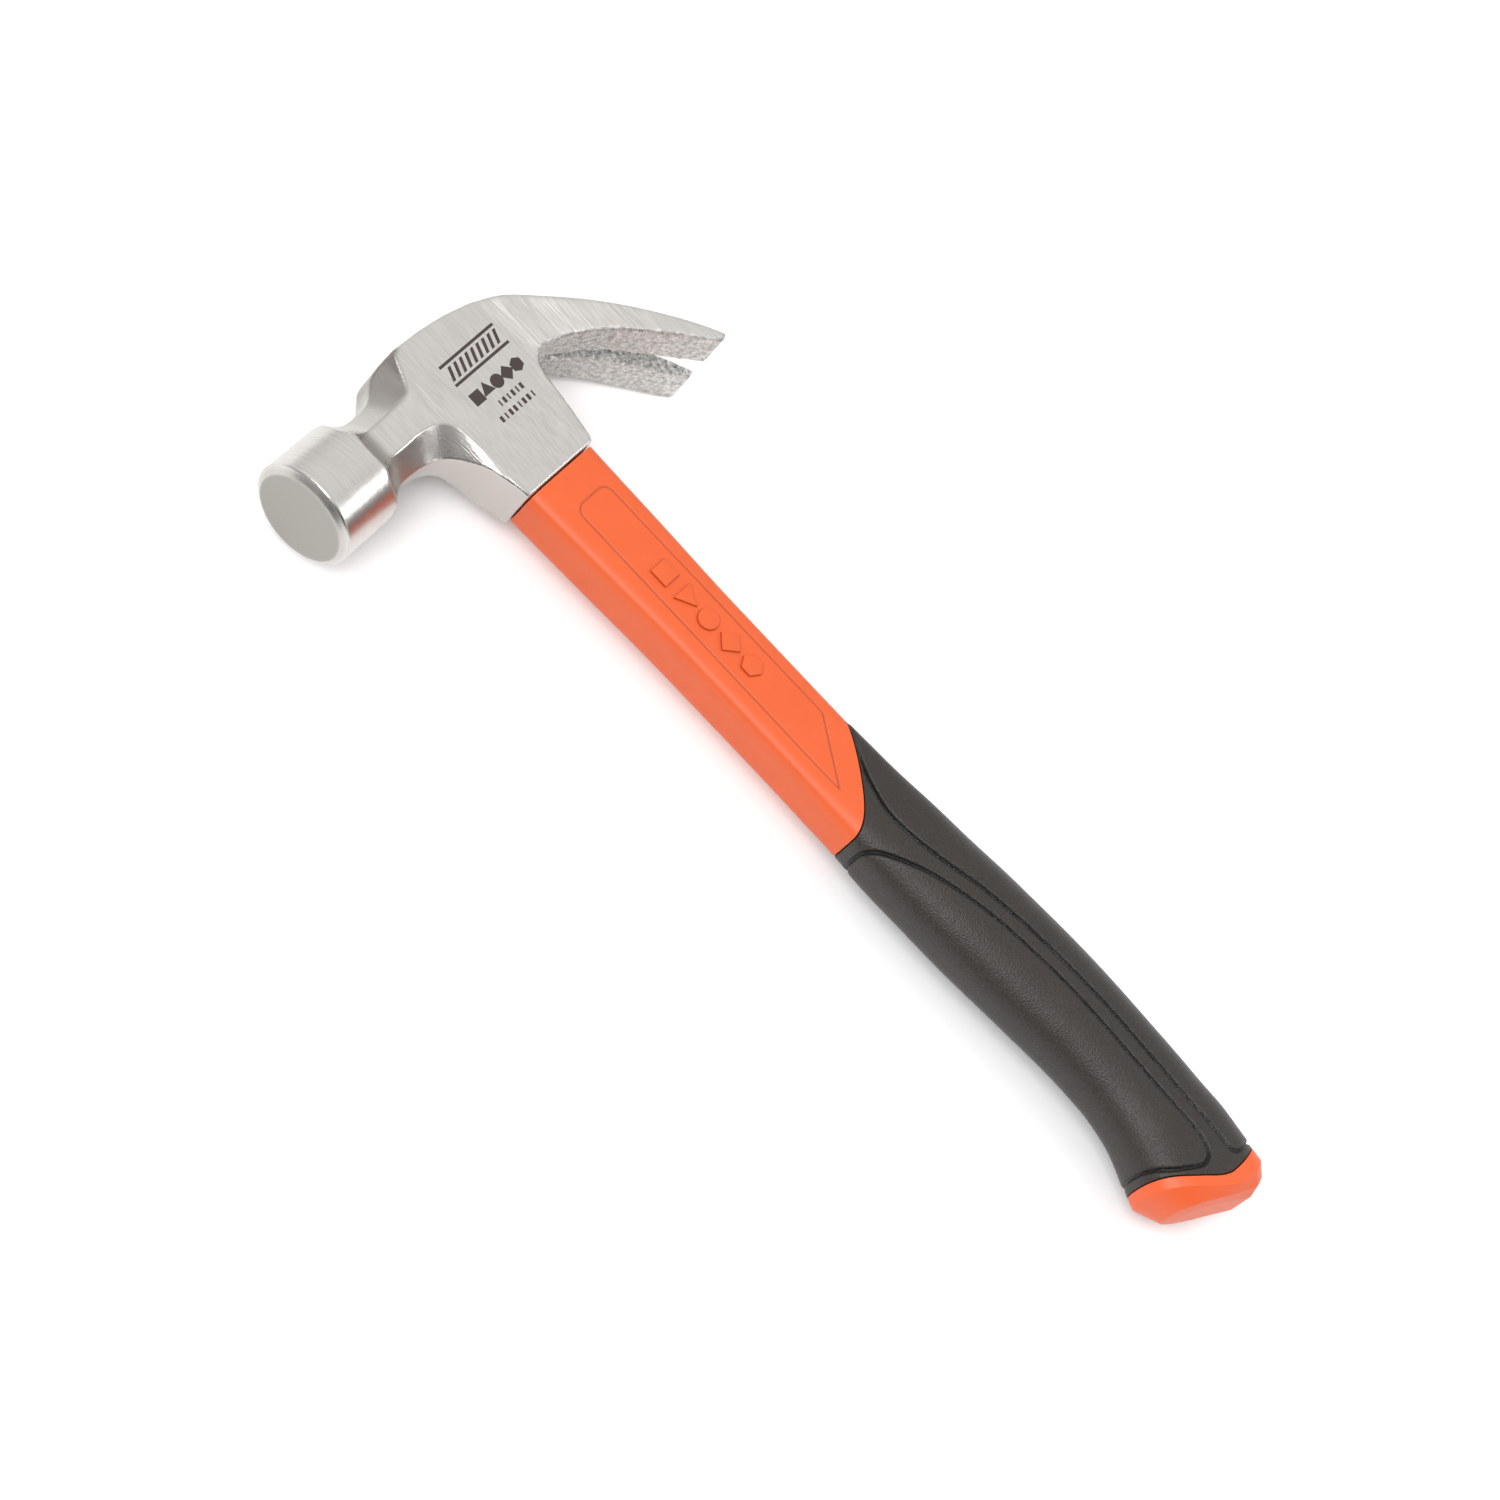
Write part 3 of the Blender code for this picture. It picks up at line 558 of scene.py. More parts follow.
def edge_rungs(points, side):
    """Rungs of a plain edge: each point of the outline, and that point moved in by the edge's chamfer."""
    rungs = []
    for before, (y, height), after in zip([points[0]] + points, points, points[1:] + [points[-1]]):
        along = Vector((after[0] - before[0], after[1] - before[1])).normalized()
        edge_y = y + side * along.y * EDGE_CHAMFER
        edge_height = height - side * along.x * EDGE_CHAMFER
        half = side_half(edge_y, edge_height)
        rungs.append((y, height, half - EDGE_CHAMFER, edge_y, edge_height, half))
    return rungs


def claw(reach_share, height_share):
    """A point of the claws' outline, as shares of their reach past the cheek and of the head's height."""
    y = CHEEK_HALF_DEPTH + reach_share * (CLAW_REACH - CHEEK_HALF_DEPTH)
    return y, -CLAW_DROP + height_share * (CROWN_HEIGHT + CLAW_DROP)


# A rung crosses the head's outline. It holds the y and height of the outline's middle, half the width that
# is flat there, and the y, height and half-width of the near face's edge. The strip between is a chamfer.


def upper_rungs():
    """Over the neck, up the scooped front of the crown, and down the back of the claws to their tips."""
    front, back, top = -CHEEK_HALF_DEPTH, CHEEK_HALF_DEPTH, CROWN_HEIGHT
    flat = OCTAGON * NECK_NEAR
    ledge = BELL_AXIS + flat
    scoop = [
        (front - 18.0, top - 6.4, flat, front - 18.0, ledge, NECK_NEAR),
        (front - 14.4, top - 5.6, flat, front - 14.4, ledge, NECK_NEAR),
        (front - 11.6, top - 3.5, flat + 0.2, front - 11.2, ledge, CHEEK_HALF - 0.1),
        (front - 9.2, top - 1.6, flat + 0.9, front - 8.6, ledge + 0.2, CHEEK_HALF),
        (front - 6.8, top - 0.7, flat + 2.0, front - 6.6, ledge + 1.6, CHEEK_HALF),
        (front - 4.6, top - 0.3, flat + 3.4, front - 4.9, ledge + 4.4, CHEEK_HALF),
        (front - 2.8, top - 0.1, flat + 4.8, front - 3.5, ledge + 7.7, CHEEK_HALF),
        (front - 1.4, top, flat + 5.9, front - 2.1, ledge + 10.8, CHEEK_HALF),
    ]
    drops = [(0.4, 3.7), (2.0, 4.3), (4.2, 5.2), (7.0, 6.6)]
    crown = [(front + 0.2, top), (front + 2.2, top), (-4.0, top - 0.4), (5.0, top - 1.5)]
    crown += [(back - 2.2, top - 3.0), (back - 1.0, top - 3.3)]
    crown += [(back + past, top - drop) for past, drop in drops]
    crown += [claw(0.213, 0.842), claw(0.34, 0.738), claw(0.50, 0.596), claw(0.657, 0.438)]
    crown += [claw(0.80, 0.274), claw(0.92, 0.119), claw(1.0, -0.006)]
    return neck_rungs(1) + scoop + edge_rungs(crown, 1)


def lower_rungs():
    """Under the neck, down the cheeks' front, across the foot, and up inside the claws to their tips."""
    front, back = -CHEEK_HALF_DEPTH, CHEEK_HALF_DEPTH
    flat = OCTAGON * NECK_NEAR
    under = BELL_AXIS - NECK_FOOT
    ledge = BELL_AXIS - flat
    fillet = [
        (front - 18.0, under - 0.1, flat, front - 18.0, ledge, NECK_NEAR),
        (front - 14.8, under - 0.5, flat, front - 14.0, ledge + 0.2, NECK_NEAR),
        (front - 11.6, under - 1.5, flat + 0.5, front - 10.2, ledge - 0.3, CHEEK_HALF - 0.1),
        (front - 8.8, under - 3.1, flat + 0.9, front - 6.3, ledge - 1.5, CHEEK_HALF),
        (front - 6.6, under - 5.6, flat + 1.7, front - 3.5, ledge - 4.0, CHEEK_HALF),
    ]
    for middle_y, drop, wide, edge_y, edge_drop in (
        (4.9, 8.9, 3.0, 2.2, 8.2),
        (3.4, 12.7, 4.6, 1.4, 14.5),
        (2.3, 16.6, 5.1, 0.7, 20.5),
    ):
        edge = (front - edge_y, ledge - edge_drop, side_half(0, ledge - edge_drop))
        fillet.append((front - middle_y, under - drop, flat + wide, *edge))
    foot = [(front - 1.1, 5.3), (front, 0.0), (front / 3, 0.0), (back / 3, 0.0), (back - 1.6, 0.0)]
    rear = [(back, 0.8), (back + 0.6, 4.0), (back + 1.6, 12.0), (back + 2.3, 20.0), (back + 3.1, 25.2)]
    rear += [claw(0.107, 0.536), claw(0.174, 0.543), claw(0.349, 0.473), claw(0.535, 0.357)]
    rear += [claw(0.698, 0.214), claw(0.858, 0.062), claw(0.95, -0.022)]
    return neck_rungs(-1) + fillet + edge_rungs(foot + rear, -1)


def section_of(upper, lower):
    """The ring of (y, height, z) points around the head between an upper and a lower rung."""
    rows = 8
    near = [tuple(upper[:3])]
    for row in range(rows + 1):
        y, height, half = (high + (low - high) * row / rows for high, low in zip(upper[3:], lower[3:]))
        if y > -CHEEK_HALF_DEPTH - 3.0:
            half = side_half(y, height)
        near.append((y, height, half))
    near.append(tuple(lower[:3]))
    return near + [(y, height, -half) for y, height, half in reversed(near)]


def plain_solid(name, points, around):
    """A closed solid of rings in millimetres, as an object for the head's Booleans."""
    rings = len(points) // around
    faces = ring_faces(rings, around, closed=False)
    faces += [tuple(range(around)), tuple((rings - 1) * around + side for side in range(around))]
    mesh = bpy.data.meshes.new(name)
    mesh.from_pydata(((np.array(points) + ORIGIN) * MM).tolist(), [], faces)
    work = bmesh.new()
    work.from_mesh(mesh)
    bmesh.ops.remove_doubles(work, verts=work.verts, dist=1e-7)
    bmesh.ops.triangulate(work, faces=[face for face in work.faces if len(face.verts) > 4])
    bmesh.ops.recalc_face_normals(work, faces=work.faces)
    work.to_mesh(mesh)
    work.free()
    thing = bpy.data.objects.new(name, mesh)
    bpy.context.scene.collection.objects.link(thing)
    return thing


def evaluated(thing):
    """The mesh that an object's modifiers make of it."""
    bpy.context.view_layer.update()
    return bpy.data.meshes.new_from_object(thing.evaluated_get(bpy.context.evaluated_depsgraph_get()))


def loft_of_head():
    """The forging before it is machined, as an object."""
    steps = 8
    upper, lower = catmull(upper_rungs(), steps), lower_rungs()
    corner, heel = 16, 19  # rungs where the outline under the head turns sharply
    stretches = (lower[: corner + 1], lower[corner : heel + 1], lower[heel:])
    lower = [rung for stretch in stretches for rung in catmull(stretch, steps)[:-1]] + [lower[-1]]
    rings = [section_of(high, low) for high, low in zip(upper, lower)]
    points = [(-height, y, z) for ring in rings for y, height, z in ring]
    return plain_solid("head_loft", points, len(rings[0]))


def turning_cutter():
    """What the lathe leaves: everything behind the bell, and the bell with its chamfered face."""
    points = []
    for y, radius in (
        (CLAW_REACH + CLEAR, CLEAR_RADIUS),
        (-NECK_FLARE_START + 1.0, CLEAR_RADIUS),
        (-NECK_FLARE_START + 1.0, BELL_REAR_RADIUS),
        (-FACE_REACH + FACE_CHAMFER, BELL_RADIUS),
        (-FACE_REACH, FACE_RADIUS),
    ):
        for side in range(BELL_AROUND):
            angle = 2 * math.pi * side / BELL_AROUND
            points.append((-BELL_AXIS + radius * math.cos(angle), y, radius * math.sin(angle)))
    return plain_solid("turning", points, BELL_AROUND)


def eye_cutter():
    """The handle's eye, narrowest at its waist, so that the resin holds the head on."""
    points = []
    for height in [-1.0] + [CROWN_HEIGHT * row / 7 for row in range(6)] + [CROWN_HEIGHT + 1.0]:
        room = smooth([(0.0, BOND_FOOT), (EYE_WAIST_HEIGHT, BOND_WAIST), (CROWN_HEIGHT, BOND_TOP)], height)
        y, z = oval(CORE_DEPTH + 2 * room, CORE_WIDTH + 2 * room, CORE_SQUARENESS, EYE_AROUND)
        points += [(-height, *place) for place in zip(y, z)]
    return plain_solid("eye", points, EYE_AROUND)


def slot_cutter():
    """The nail slot, a wedge that leans with the claws and ends in a point."""
    lean = math.tan(math.radians(SLOT_LEAN))
    widen = (SLOT_TIP_HALF - SLOT_ROOT_HALF) / (CLAW_REACH - SLOT_ROOT_REACH)
    tip_half = SLOT_TIP_HALF + widen * CLEAR
    points = []
    for height in (-CLAW_DROP - 10.0, CROWN_HEIGHT + 5.0):
        shift = lean * (height - CROWN_HEIGHT / 2)
        root, tip = SLOT_ROOT_REACH + shift, CLAW_REACH + CLEAR + shift
        points += [(-height, root, SLOT_ROOT_HALF), (-height, tip, tip_half), (-height, tip, -tip_half)]
        points += [(-height, root, -SLOT_ROOT_HALF), (-height, root - SLOT_ROOT_HALF, 0.0)]
    return plain_solid("slot", points, 5)


def forged_blank():
    """The head's mesh with smooth curves: the forging, turned, bored and slotted."""
    head = loft_of_head()
    cutters = [turning_cutter(), eye_cutter(), slot_cutter()]
    for cutter, operation in zip(cutters, ("INTERSECT", "DIFFERENCE", "DIFFERENCE")):
        cut = head.modifiers.new(cutter.name, "BOOLEAN")
        cut.operation, cut.solver, cut.object = operation, "EXACT", cutter
    mesh = evaluated(head)
    for thing in [head] + cutters:
        bpy.data.objects.remove(thing)
    return mesh


def evenly_faced(mesh):
    """The same solid with small faces of one size."""
    thing = bpy.data.objects.new("head_copy", mesh)
    bpy.context.scene.collection.objects.link(thing)
    remesh = thing.modifiers.new("even faces", "REMESH")
    remesh.mode = "VOXEL"
    remesh.voxel_size = HEAD_MESH * MM
    fine = evaluated(thing)
    bpy.data.objects.remove(thing)
    return fine


def values_of(items, name, width, kind=np.float32):
    """One value of each of a mesh's points or edges, as rows of an array."""
    values = np.empty(len(items) * width, kind)
    items.foreach_get(name, values)
    return values.reshape(-1, width)


def set_points(mesh, points):
    mesh.vertices.foreach_set("co", ((points + ORIGIN) * MM).astype(np.float32).ravel())
    mesh.update()


def eased(points, edges, blank):
    """The points laid back onto the blank where it is flat or gently curved, with edges slightly round."""
    points = averaged(points, edges, 3)
    # The striking face's chamfer keeps its corners longer
    rim = ramp(FACE_REACH - 5.0, FACE_REACH - 4.0, -points[:, 1])
    for index, point in enumerate(points):
        nearest = blank.find_nearest(Vector((point + ORIGIN) * MM))[0]
        step = np.array(nearest) / MM - ORIGIN - point
        points[index] += step * max(1.0 - ramp(0.1, 0.2, np.linalg.norm(step)), rim[index])
    draw_to_rim(points, BELL_RADIUS, FACE_REACH - FACE_CHAMFER)
    draw_to_rim(points, FACE_RADIUS, FACE_REACH)
    return averaged(points, edges, 1)


def forge_scale(points, masks, edges):
    """Heights of the forge scale left inside the claws: shallow dents, deeper in the nail slot."""
    dents = np.zeros(len(points))
    for index in np.flatnonzero(masks["forged"] > 0.02):
        place = Vector(points[index])
        dents[index] = noise.fractal(place / 1.3, 0.8, 2.1, 4) * 0.16
        pits = noise.cell(place / 1.2) * 0.2 + noise.noise(place / 1.3) * 0.4
        dents[index] += masks["slot"][index] * pits
    return averaged(dents * masks["forged"], edges, 1)


def make_head(finish):
    """Makes the head's piece, and returns its plain blank for the etched mark to be laid on."""
    mesh = forged_blank()
    work = bmesh.new()
    work.from_mesh(mesh)
    bmesh.ops.remove_doubles(work, verts=work.verts, dist=1e-7)
    blank = BVHTree.FromBMesh(work)
    work.to_mesh(mesh)
    work.free()

    fine = evenly_faced(mesh)
    edges = values_of(fine.edges, "vertices", 2, np.int32)
    points = eased(values_of(fine.vertices, "co", 3) / MM - ORIGIN, edges, blank)
    set_points(fine, points)
    normals = averaged(values_of(fine.vertices, "normal", 3), edges, 2)
    masks = head_masks(points, normals, edges)
    points += normals * forge_scale(points, masks, edges)[:, None]
    set_points(fine, np.clip(points, np.array(head_low) - ORIGIN, np.array(head_high) - ORIGIN))
    for name, values in masks.items():
        layer = fine.attributes.new(name, "FLOAT", "POINT")
        layer.data.foreach_set("value", values.astype(np.float32))
    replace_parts(mount("forged_head", fine, finish), "head")
    return blank


def draw_to_rim(points, radius, reach):
    """Moves the points beside a turned rim of the bell onto it."""
    across = np.hypot(points[:, 0] + BELL_AXIS, points[:, 2])
    beside = np.hypot(across - radius, -points[:, 1] - reach) < 0.7 * HEAD_MESH
    share = radius / across[beside]
    points[beside, 0] = (points[beside, 0] + BELL_AXIS) * share - BELL_AXIS
    points[beside, 1] = -reach
    points[beside, 2] *= share


def head_masks(points, normals, edges):
    """Where the head is as forged, where it is the nail slot, where it is turned, lapped and polished."""
    x, y, z = points.T
    claws = ramp(CHEEK_HALF_DEPTH + 1.5, CHEEK_HALF_DEPTH + 4.0, y)
    inside = ramp(0.15, 0.45, normals[:, 0]) * claws
    slot = ramp(SLOT_ROOT_REACH - 6.0, SLOT_ROOT_REACH - 4.0, y) * ramp(-6.8, -6.4, -np.abs(z))
    slot *= ramp(0.5, 0.8, -normals[:, 2] * np.sign(z))
    past_crease = ramp(NECK_FLARE_START, NECK_FLARE_START + 1.0, -y)
    turned = past_crease * ramp(15.3, 15.8, np.hypot(x + BELL_AXIS, z))
    lapped = ramp(0.8, 0.95, -normals[:, 1]) * ramp(FACE_REACH - 1.2, FACE_REACH - 0.6, -y)
    # The faces of the head's front that the belt doesn't reach are polished on a soft wheel
    near = ramp(0.93, 0.98, np.abs(normals[:, 2]))
    front = ramp(CHEEK_HALF_DEPTH - 1.5, CHEEK_HALF_DEPTH + 0.5, -y)
    front = front * (1 - near) * (1 - turned) * (1 - lapped)
    # The scoop under the crown's front gets painted shade in its hollow, and a slightly rougher finish
    scoop = ramp(BELL_AXIS + 5.0, BELL_AXIS + 6.5, -x) * ramp(-31.0, -21.0, y) * front
    masks = {
        "scoop": scoop,
        "forged": np.maximum(inside, slot),
        "slot": slot,
        "turned": turned,
        "lapped": lapped,
        "polished": front,
    }
    return {name: averaged(values, edges, 2) for name, values in masks.items()}


def regular(sides, radius, turn=0.0):
    """The corners of a regular outline around its own middle."""
    angles = [turn + 2 * math.pi * side / sides for side in range(sides)]
    return [(radius * math.cos(angle), radius * math.sin(angle)) for angle in angles]


def plain_signs(size):
    """Outlines of five plain signs: a square, a triangle, a disc, a lozenge and a hexagon."""
    signs = [regular(4, size * 0.62, math.pi / 4), regular(3, size * 0.58), regular(28, size * 0.47)]
    return signs + [regular(4, size * 0.54), regular(6, size * 0.5)]


def slanted(height, y, tall, wide, lean=0.0):
    """A bar around its middle, whose upper end lies further towards the claws by twice the lean."""
    half, up = wide / 2, tall / 2
    return [
        (height - up, y - half - lean),
        (height + up, y - half + lean),
        (height + up, y + half + lean),
        (height - up, y + half - lean),
    ]


def etched_shapes():
    """Outlines on the near cheek, as (height above the foot, y): a striped bar, signs, two rows of dashes."""
    shapes = [slanted(BAR_HEIGHT + rail, 3.2, 0.9, 23.0) for rail in (-BAR_HALF, BAR_HALF)]
    shapes += [slanted(BAR_HEIGHT, -6.4 + stripe * 2.4, 4.2, 1.15, 0.9) for stripe in range(9)]
    for index, sign in enumerate(plain_signs(4.6)):
        shapes.append([(SIGN_ROW + height, -5.6 + index * 4.25 + y) for height, y in sign])
    for dash in range(6):
        shapes.append(slanted(UPPER_DASHES, -1.2 + dash * 1.8, 1.9, 0.55 + 0.5 * (dash % 2)))
    for dash in range(8):
        shapes.append(slanted(LOWER_DASHES, -4.2 + dash * 1.9, 1.9, 1.05 - 0.5 * (dash % 3 == 1)))
    return shapes


def make_etched_mark(cheek, finish):
    """Lays each shape on the cheek, standing a hair proud of it so that it shows."""
    points, faces = [], []
    for shape in etched_shapes():
        block = []
        for proud in (-0.12, 0.015):
            ring = []
            for height, y in shape:
                above = Vector((np.array([-height, y, CHEEK_HALF + CLEAR]) + ORIGIN) * MM)
                hit = cheek.ray_cast(above, Vector((0, 0, -1)))[0]
                ring.append((-height, y, hit.z / MM - ORIGIN[2] + proud))
            block.append(ring)
        add_block(points, faces, block)
    show("etched_mark", points, faces, finish, sharp_degrees=30)


# Materials


def linear(hex_colour):
    """A hex sRGB colour as linear values."""
    values = [int(hex_colour[place : place + 2], 16) / 255 for place in (1, 3, 5)]
    values = [value / 12.92 if value <= 0.04045 else ((value + 0.055) / 1.055) ** 2.4 for value in values]
    return (*values, 1.0)


def add(tree, kind, inputs=None, **settings):
    """Adds a node. An input is given by its name or number, and takes a value or another node's socket."""
    made = tree.nodes.new(kind)
    for name, value in settings.items():
        setattr(made, name, value)
    for socket, value in (inputs or {}).items():
        if isinstance(value, bpy.types.NodeSocket):
            tree.links.new(value, made.inputs[socket])
        else:
            made.inputs[socket].default_value = value
    return made


def clouds(tree, place, scale, detail, roughness=0.5):
    """A noise's value, mostly near 0.5. The scale is in patches to the millimetre."""
    inputs = {"Vector": place, "Scale": scale, "Detail": detail, "Roughness": roughness}
    return add(tree, "ShaderNodeTexNoise", inputs).outputs["Fac"]


def ranged(tree, value, low, high, new_low=0.0, new_high=1.0):
    """A value's range moved to another, and held within it."""
    ends = {"From Min": low, "From Max": high, "To Min": new_low, "To Max": new_high}
    return add(tree, "ShaderNodeMapRange", {"Value": value, **ends}).outputs[0]


def spread(tree, value):
    """A noise's value spread over 0 to 1, since noise stays near its middle."""
    return ranged(tree, value, 0.36, 0.64)


def blend(tree, share, first, second):
    """A colour between two, each a hex colour or a socket."""
    first, second = (linear(colour) if isinstance(colour, str) else colour for colour in (first, second))
    return add(tree, "ShaderNodeMix", {0: share, 6: first, 7: second}, data_type="RGBA").outputs[2]


def between(tree, share, first, second):
    """A value between two."""
    return add(tree, "ShaderNodeMix", {0: share, 2: first, 3: second}, data_type="FLOAT").outputs[0]


def times(tree, first, second):
    return add(tree, "ShaderNodeMath", {0: first, 1: second}, operation="MULTIPLY").outputs[0]


def bump(tree, shader, height, distance=MM, strength=1.0):
    """Lets the light catch on heights, given in units of the distance."""
    made = add(tree, "ShaderNodeBump", {"Height": height, "Strength": strength, "Distance": distance})
    tree.links.new(made.outputs[0], shader.inputs["Normal"])


def start_finish(name, roughness, **more):
    """A new material with its shader, and its place on the object in millimetres."""
    made = bpy.data.materials.new(name)
    made.use_nodes = True
    tree = made.node_tree
    shader = tree.nodes["Principled BSDF"]
    for socket, value in {"Roughness": roughness, **more}.items():
        shader.inputs[socket].default_value = value
    coordinates = add(tree, "ShaderNodeTexCoord")
    inputs = {0: coordinates.outputs["Object"], 3: 1 / MM}
    place = add(tree, "ShaderNodeVectorMath", inputs, operation="SCALE")
    return made, tree, shader, place.outputs[0]


def steel():
    """Forged carbon steel. The cheeks are belt-ground to a satin with fine scratches, the bell is turned and
    polished in rings, the striking face is lapped dull, and the claws' insides keep their forged skin."""
    made, tree, shader, place = start_finish("belt_ground_forged_steel", 0.3, Metallic=1.0)
    masks = {}
    for name in ("forged", "slot", "turned", "lapped", "polished", "scoop"):
        masks[name] = add(tree, "ShaderNodeAttribute", attribute_name=name).outputs["Fac"]
    # Belt scratches along the handle's line, 0.1 mm wide on a real one and drawn at 0.45 mm so that they show
    drawn_out = {"Vector": place, "Scale": (0.12, 2.2, 2.2), "Rotation": (0, 0, 0.3)}
    along = add(tree, "ShaderNodeMapping", drawn_out).outputs[0]
    scratches = spread(tree, clouds(tree, along, 1.0, 4.0))
    # Turned rings 0.3 mm apart round the bell, and slow waves in their depth
    round_bell = add(tree, "ShaderNodeMapping", {"Vector": place, "Scale": (0.06, 3.4, 0.06)}).outputs[0]
    rings = spread(tree, clouds(tree, round_bell, 1.0, 3.0))
    # Forge scale in patches 1.3 mm across, a dull dark skin with bright metal showing through
    patches = spread(tree, clouds(tree, place, 0.75, 6.0, 0.75))
    # Handling has dulled the satin in clouds 11 mm across
    dulled = clouds(tree, place, 0.09, 3.0)
    fine = between(tree, masks["turned"], scratches, rings)

    colour = blend(tree, dulled, blend(tree, fine, "#B9B6B2", "#D2CFCB"), "#C4C1BD")
    colour = blend(tree, masks["lapped"], colour, "#9F9C97")
    colour = blend(tree, masks["polished"], colour, "#B9B5B1")
    # Painted shade in the scoop under the crown's front
    colour = blend(tree, masks["scoop"], colour, "#8F8A86")
    walls = blend(tree, patches, "#6A6967", "#F8F7F4")
    forged = blend(tree, masks["slot"], blend(tree, patches, "#908F8C", "#DDDCD9"), walls)
    tree.links.new(blend(tree, masks["forged"], colour, forged), shader.inputs["Base Color"])

    roughness = between(tree, fine, 0.28, 0.42)
    finishes = (("turned", 0.27), ("polished", 0.27), ("scoop", 0.38), ("lapped", 0.5), ("forged", 0.42))
    for name, value in finishes:
        roughness = between(tree, masks[name], roughness, value)
    tree.links.new(roughness, shader.inputs["Roughness"])
    grain = between(tree, masks["forged"], fine, patches)
    depth = between(tree, masks["forged"], 0.02, between(tree, masks["slot"], 0.1, 0.3))
    bump(tree, shader, times(tree, grain, depth))
    return made


def etched():
    """Laser-etched steel: a dark brown-grey oxide, quite matt, faintly speckled."""
    made, tree, shader, place = start_finish("laser_etched_steel", 0.6, Metallic=0.3)
    speckle = clouds(tree, place, 2.5, 4.0)
    tree.links.new(blend(tree, speckle, "#2E2523", "#4A3F3C"), shader.inputs["Base Color"])
    return made


def with_painted_shade(tree, colour, shader, dark, share):
    """Runs a colour into the shader with painted shade: darker where the mesh's shares say that a moulded
    line is deep or a sign's side stands.
    """
    painted_shade = add(tree, "ShaderNodeAttribute", attribute_name="painted_shade").outputs["Fac"]
    tree.links.new(blend(tree, times(tree, painted_shade, share), colour, dark), shader.inputs["Base Color"])


def moulded(name, deep, pale):
    """Polypropylene, injection moulded in a spark-eroded tool: a satin skin with a faint grain and slow
    unevenness from cooling."""
    made, tree, shader, place = start_finish(name, 0.46, IOR=1.47)
    # Grain of the tool 0.25 mm across, and waves 9 mm long
    grain = clouds(tree, place, 4.0, 3.0)
    wave = clouds(tree, place, 0.11, 2.0)
    # Painted shade in the panel's moulded line and at the feet of the signs, a deep orange
    with_painted_shade(tree, blend(tree, wave, deep, pale), shader, "#8F3412", 0.8)
    tree.links.new(ranged(tree, grain, 0.3, 0.7, 0.4, 0.54), shader.inputs["Roughness"])
    bump(tree, shader, times(tree, grain, 0.012))
    return made


def rubber():
    """Thermoplastic rubber, overmoulded with a fine leathery grain that breaks up a broad dull sheen."""
    made, tree, shader, place = start_finish("grained_thermoplastic_rubber", 0.5, IOR=1.44)
    # Grain 0.4 mm across, flecks 0.5 mm across, and a bloom in patches 17 mm across
    grain = add(tree, "ShaderNodeTexVoronoi", {"Vector": place, "Scale": 2.6}, feature="SMOOTH_F1")
    fleck = clouds(tree, place, 1.9, 6.0, 0.7)
    bloom = clouds(tree, place, 0.06, 3.0)
    colour = blend(tree, bloom, blend(tree, spread(tree, fleck), "#120F0D", "#38312D"), "#26201C")
    # Painted shade in the grooves around the pads, nearly black
    with_painted_shade(tree, colour, shader, "#050504", 0.95)
    tree.links.new(ranged(tree, fleck, 0.3, 0.7, 0.36, 0.54), shader.inputs["Roughness"])
    bump(tree, shader, times(tree, grain.outputs["Distance"], 0.14))
    return made


def glass_fibre():
    """Pultruded glass fibre in polyester, sawn across: a straw-coloured end, dotted by bundles of fibre."""
    made, tree, shader, place = start_finish("sawn_glass_fibre", 0.5, IOR=1.54)
    bundles = add(tree, "ShaderNodeTexVoronoi", {"Vector": place, "Scale": 1.8}).outputs["Distance"]
    tree.links.new(blend(tree, bundles, "#E0CE96", "#A8894A"), shader.inputs["Base Color"])
    bump(tree, shader, bundles, 0.1 * MM, 0.4)
    return made


def epoxy():
    """Poured epoxy: black and glassy, with a slightly uneven top."""
    made, tree, shader, place = start_finish("poured_epoxy", 0.18, IOR=1.55)
    flow = clouds(tree, place, 0.4, 2.0)
    tree.links.new(blend(tree, flow, "#1A1716", "#2C2826"), shader.inputs["Base Color"])
    bump(tree, shader, flow, 0.3 * MM, 0.5)
    return made


# Studio


def make_floor():
    """A broad sheet of white paper just under the hammer."""
    bpy.ops.mesh.primitive_plane_add(size=8.0, location=(0.0, 0.0, -0.0002))
    floor = bpy.context.object
    floor.name = "studio_floor"
    paper = bpy.data.materials.new("white_paper")
    paper.use_nodes = True
    shader = paper.node_tree.nodes["Principled BSDF"]
    shader.inputs["Base Color"].default_value = linear("#FAFAFA")
    shader.inputs["Roughness"].default_value = 0.9
    floor.data.materials.append(paper)


def add_softbox(name, place, aim, width, height, power):
    """A rectangular lamp, with its place, aim and size in metres and its power in watts."""
    light = bpy.data.lights.new(name, "AREA")
    light.shape = "RECTANGLE"
    light.size, light.size_y = width, height
    light.energy = power
    lamp = bpy.data.objects.new(name, light)
    bpy.context.scene.collection.objects.link(lamp)
    lamp.location = place
    lamp.rotation_mode = "QUATERNION"
    lamp.rotation_quaternion = (Vector(aim) - Vector(place)).to_track_quat("-Z", "Y")


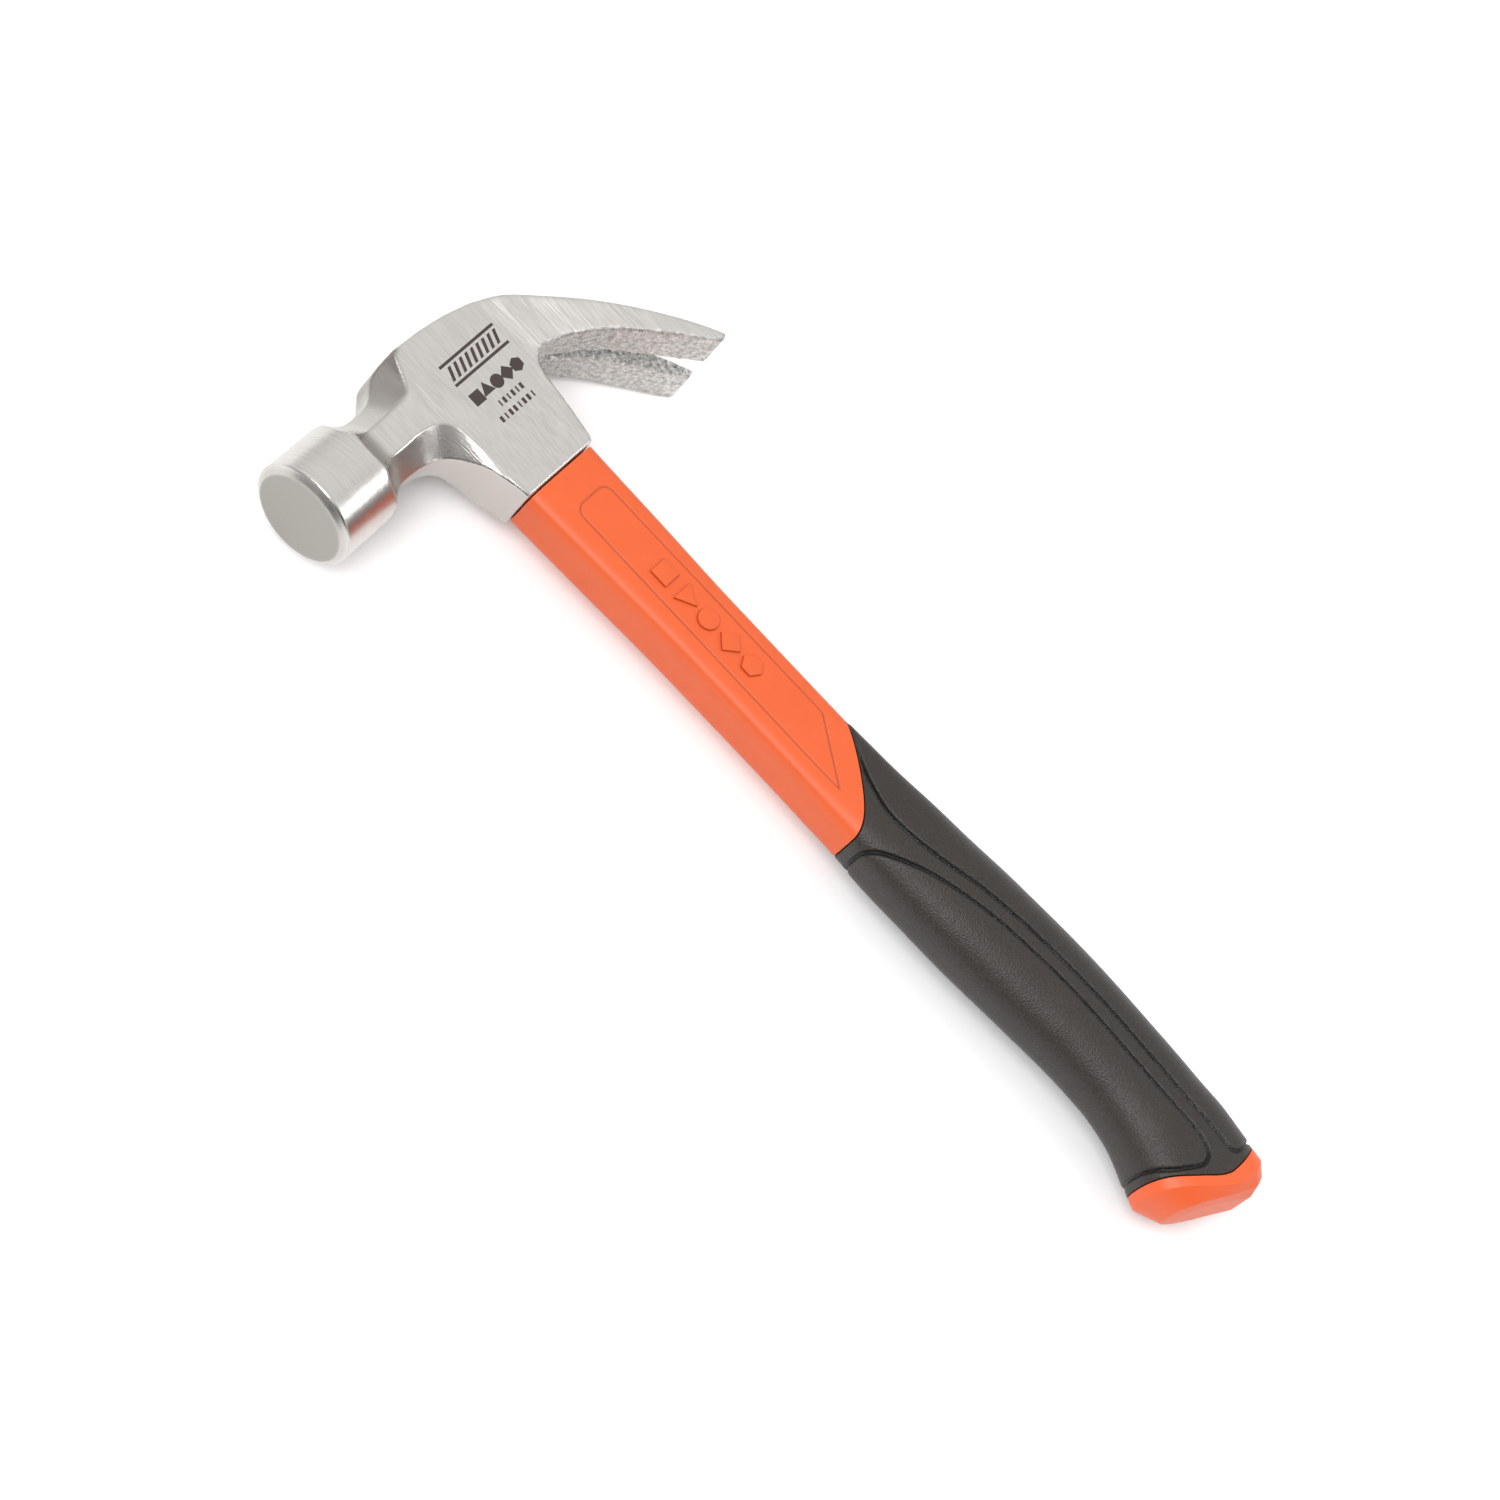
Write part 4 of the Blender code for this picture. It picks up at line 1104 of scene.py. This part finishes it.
def light_studio():
    """A pale room that is brighter overhead than at the horizon, a softbox over the camera's shoulder for the
    sheen on the grip, and two low strips beyond the butt for the bright line along the bell."""
    world = bpy.data.worlds.new("pale_room")
    bpy.context.scene.world = world
    world.use_nodes = True
    tree = world.node_tree
    # The room is darkest low down beyond the butt and in front, which gives the bell its dark line and rim
    towards = add(tree, "ShaderNodeTexCoord").outputs["Generated"]
    lean = add(tree, "ShaderNodeVectorMath", {0: towards, 1: (-0.4, 0.3, 1.0)}, operation="DOT_PRODUCT")
    strength = ranged(tree, lean.outputs["Value"], -0.1, 0.88, 0.1, 1.08)
    tree.links.new(strength, tree.nodes["Background"].inputs["Strength"])
    tree.nodes["Background"].inputs["Color"].default_value = linear("#FFFFFF")
    add_softbox("softbox_over_camera", (-0.45, -1.25, 1.95), (0.0, 0.0, 0.0), 1.3, 1.3, 43.0)
    add_softbox("strip_beyond_butt", (1.0, 0.75, 0.86), (-0.15, -0.05, 0.03), 0.7, 0.3, 4.6)
    add_softbox("strip_at_butt", (1.6, -0.1, 0.52), (-0.14, -0.02, 0.02), 0.5, 0.3, 2.2)
    bpy.context.scene.view_settings.view_transform = "Standard"


def aim_camera():
    """A long lens, above the striking face's side, rolled so that the handle runs down to the right."""
    azimuth, elevation, roll = math.radians(-0.38), math.radians(57.45), math.radians(47.04)
    distance = 1660.4
    aim = Vector((-19.1, -11.4, 20.0))
    flat = math.cos(elevation)
    back = Vector((math.sin(azimuth) * flat, -math.cos(azimuth) * flat, math.sin(elevation)))
    camera = bpy.data.objects.new("camera", bpy.data.cameras.new("camera"))
    bpy.context.scene.collection.objects.link(camera)
    camera.data.sensor_width = 36.0
    camera.data.lens = 144.0
    camera.data.clip_start, camera.data.clip_end = 0.05, 50.0
    camera.location = (aim + back * distance) * MM
    camera.rotation_mode = "QUATERNION"
    camera.rotation_quaternion = (-back).to_track_quat("-Z", "Y") @ Quaternion((0, 0, 1), roll)
    bpy.context.scene.camera = camera


aim_camera()
make_floor()
light_studio()
head_blank = make_head(steel())
make_etched_mark(head_blank, etched())
orange = moulded("moulded_orange_polypropylene", "#CB521F", "#D35826")
make_jacket(orange)
make_panel_signs(orange)
make_grip(rubber())
make_butt_cap(moulded("moulded_butt_polypropylene", "#D2521F", "#DA5926"))
for node_name, node_finish in (("handle_core", glass_fibre()), ("eye_bond", epoxy())):
    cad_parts[node_name].data.materials.clear()
    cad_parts[node_name].data.materials.append(node_finish)
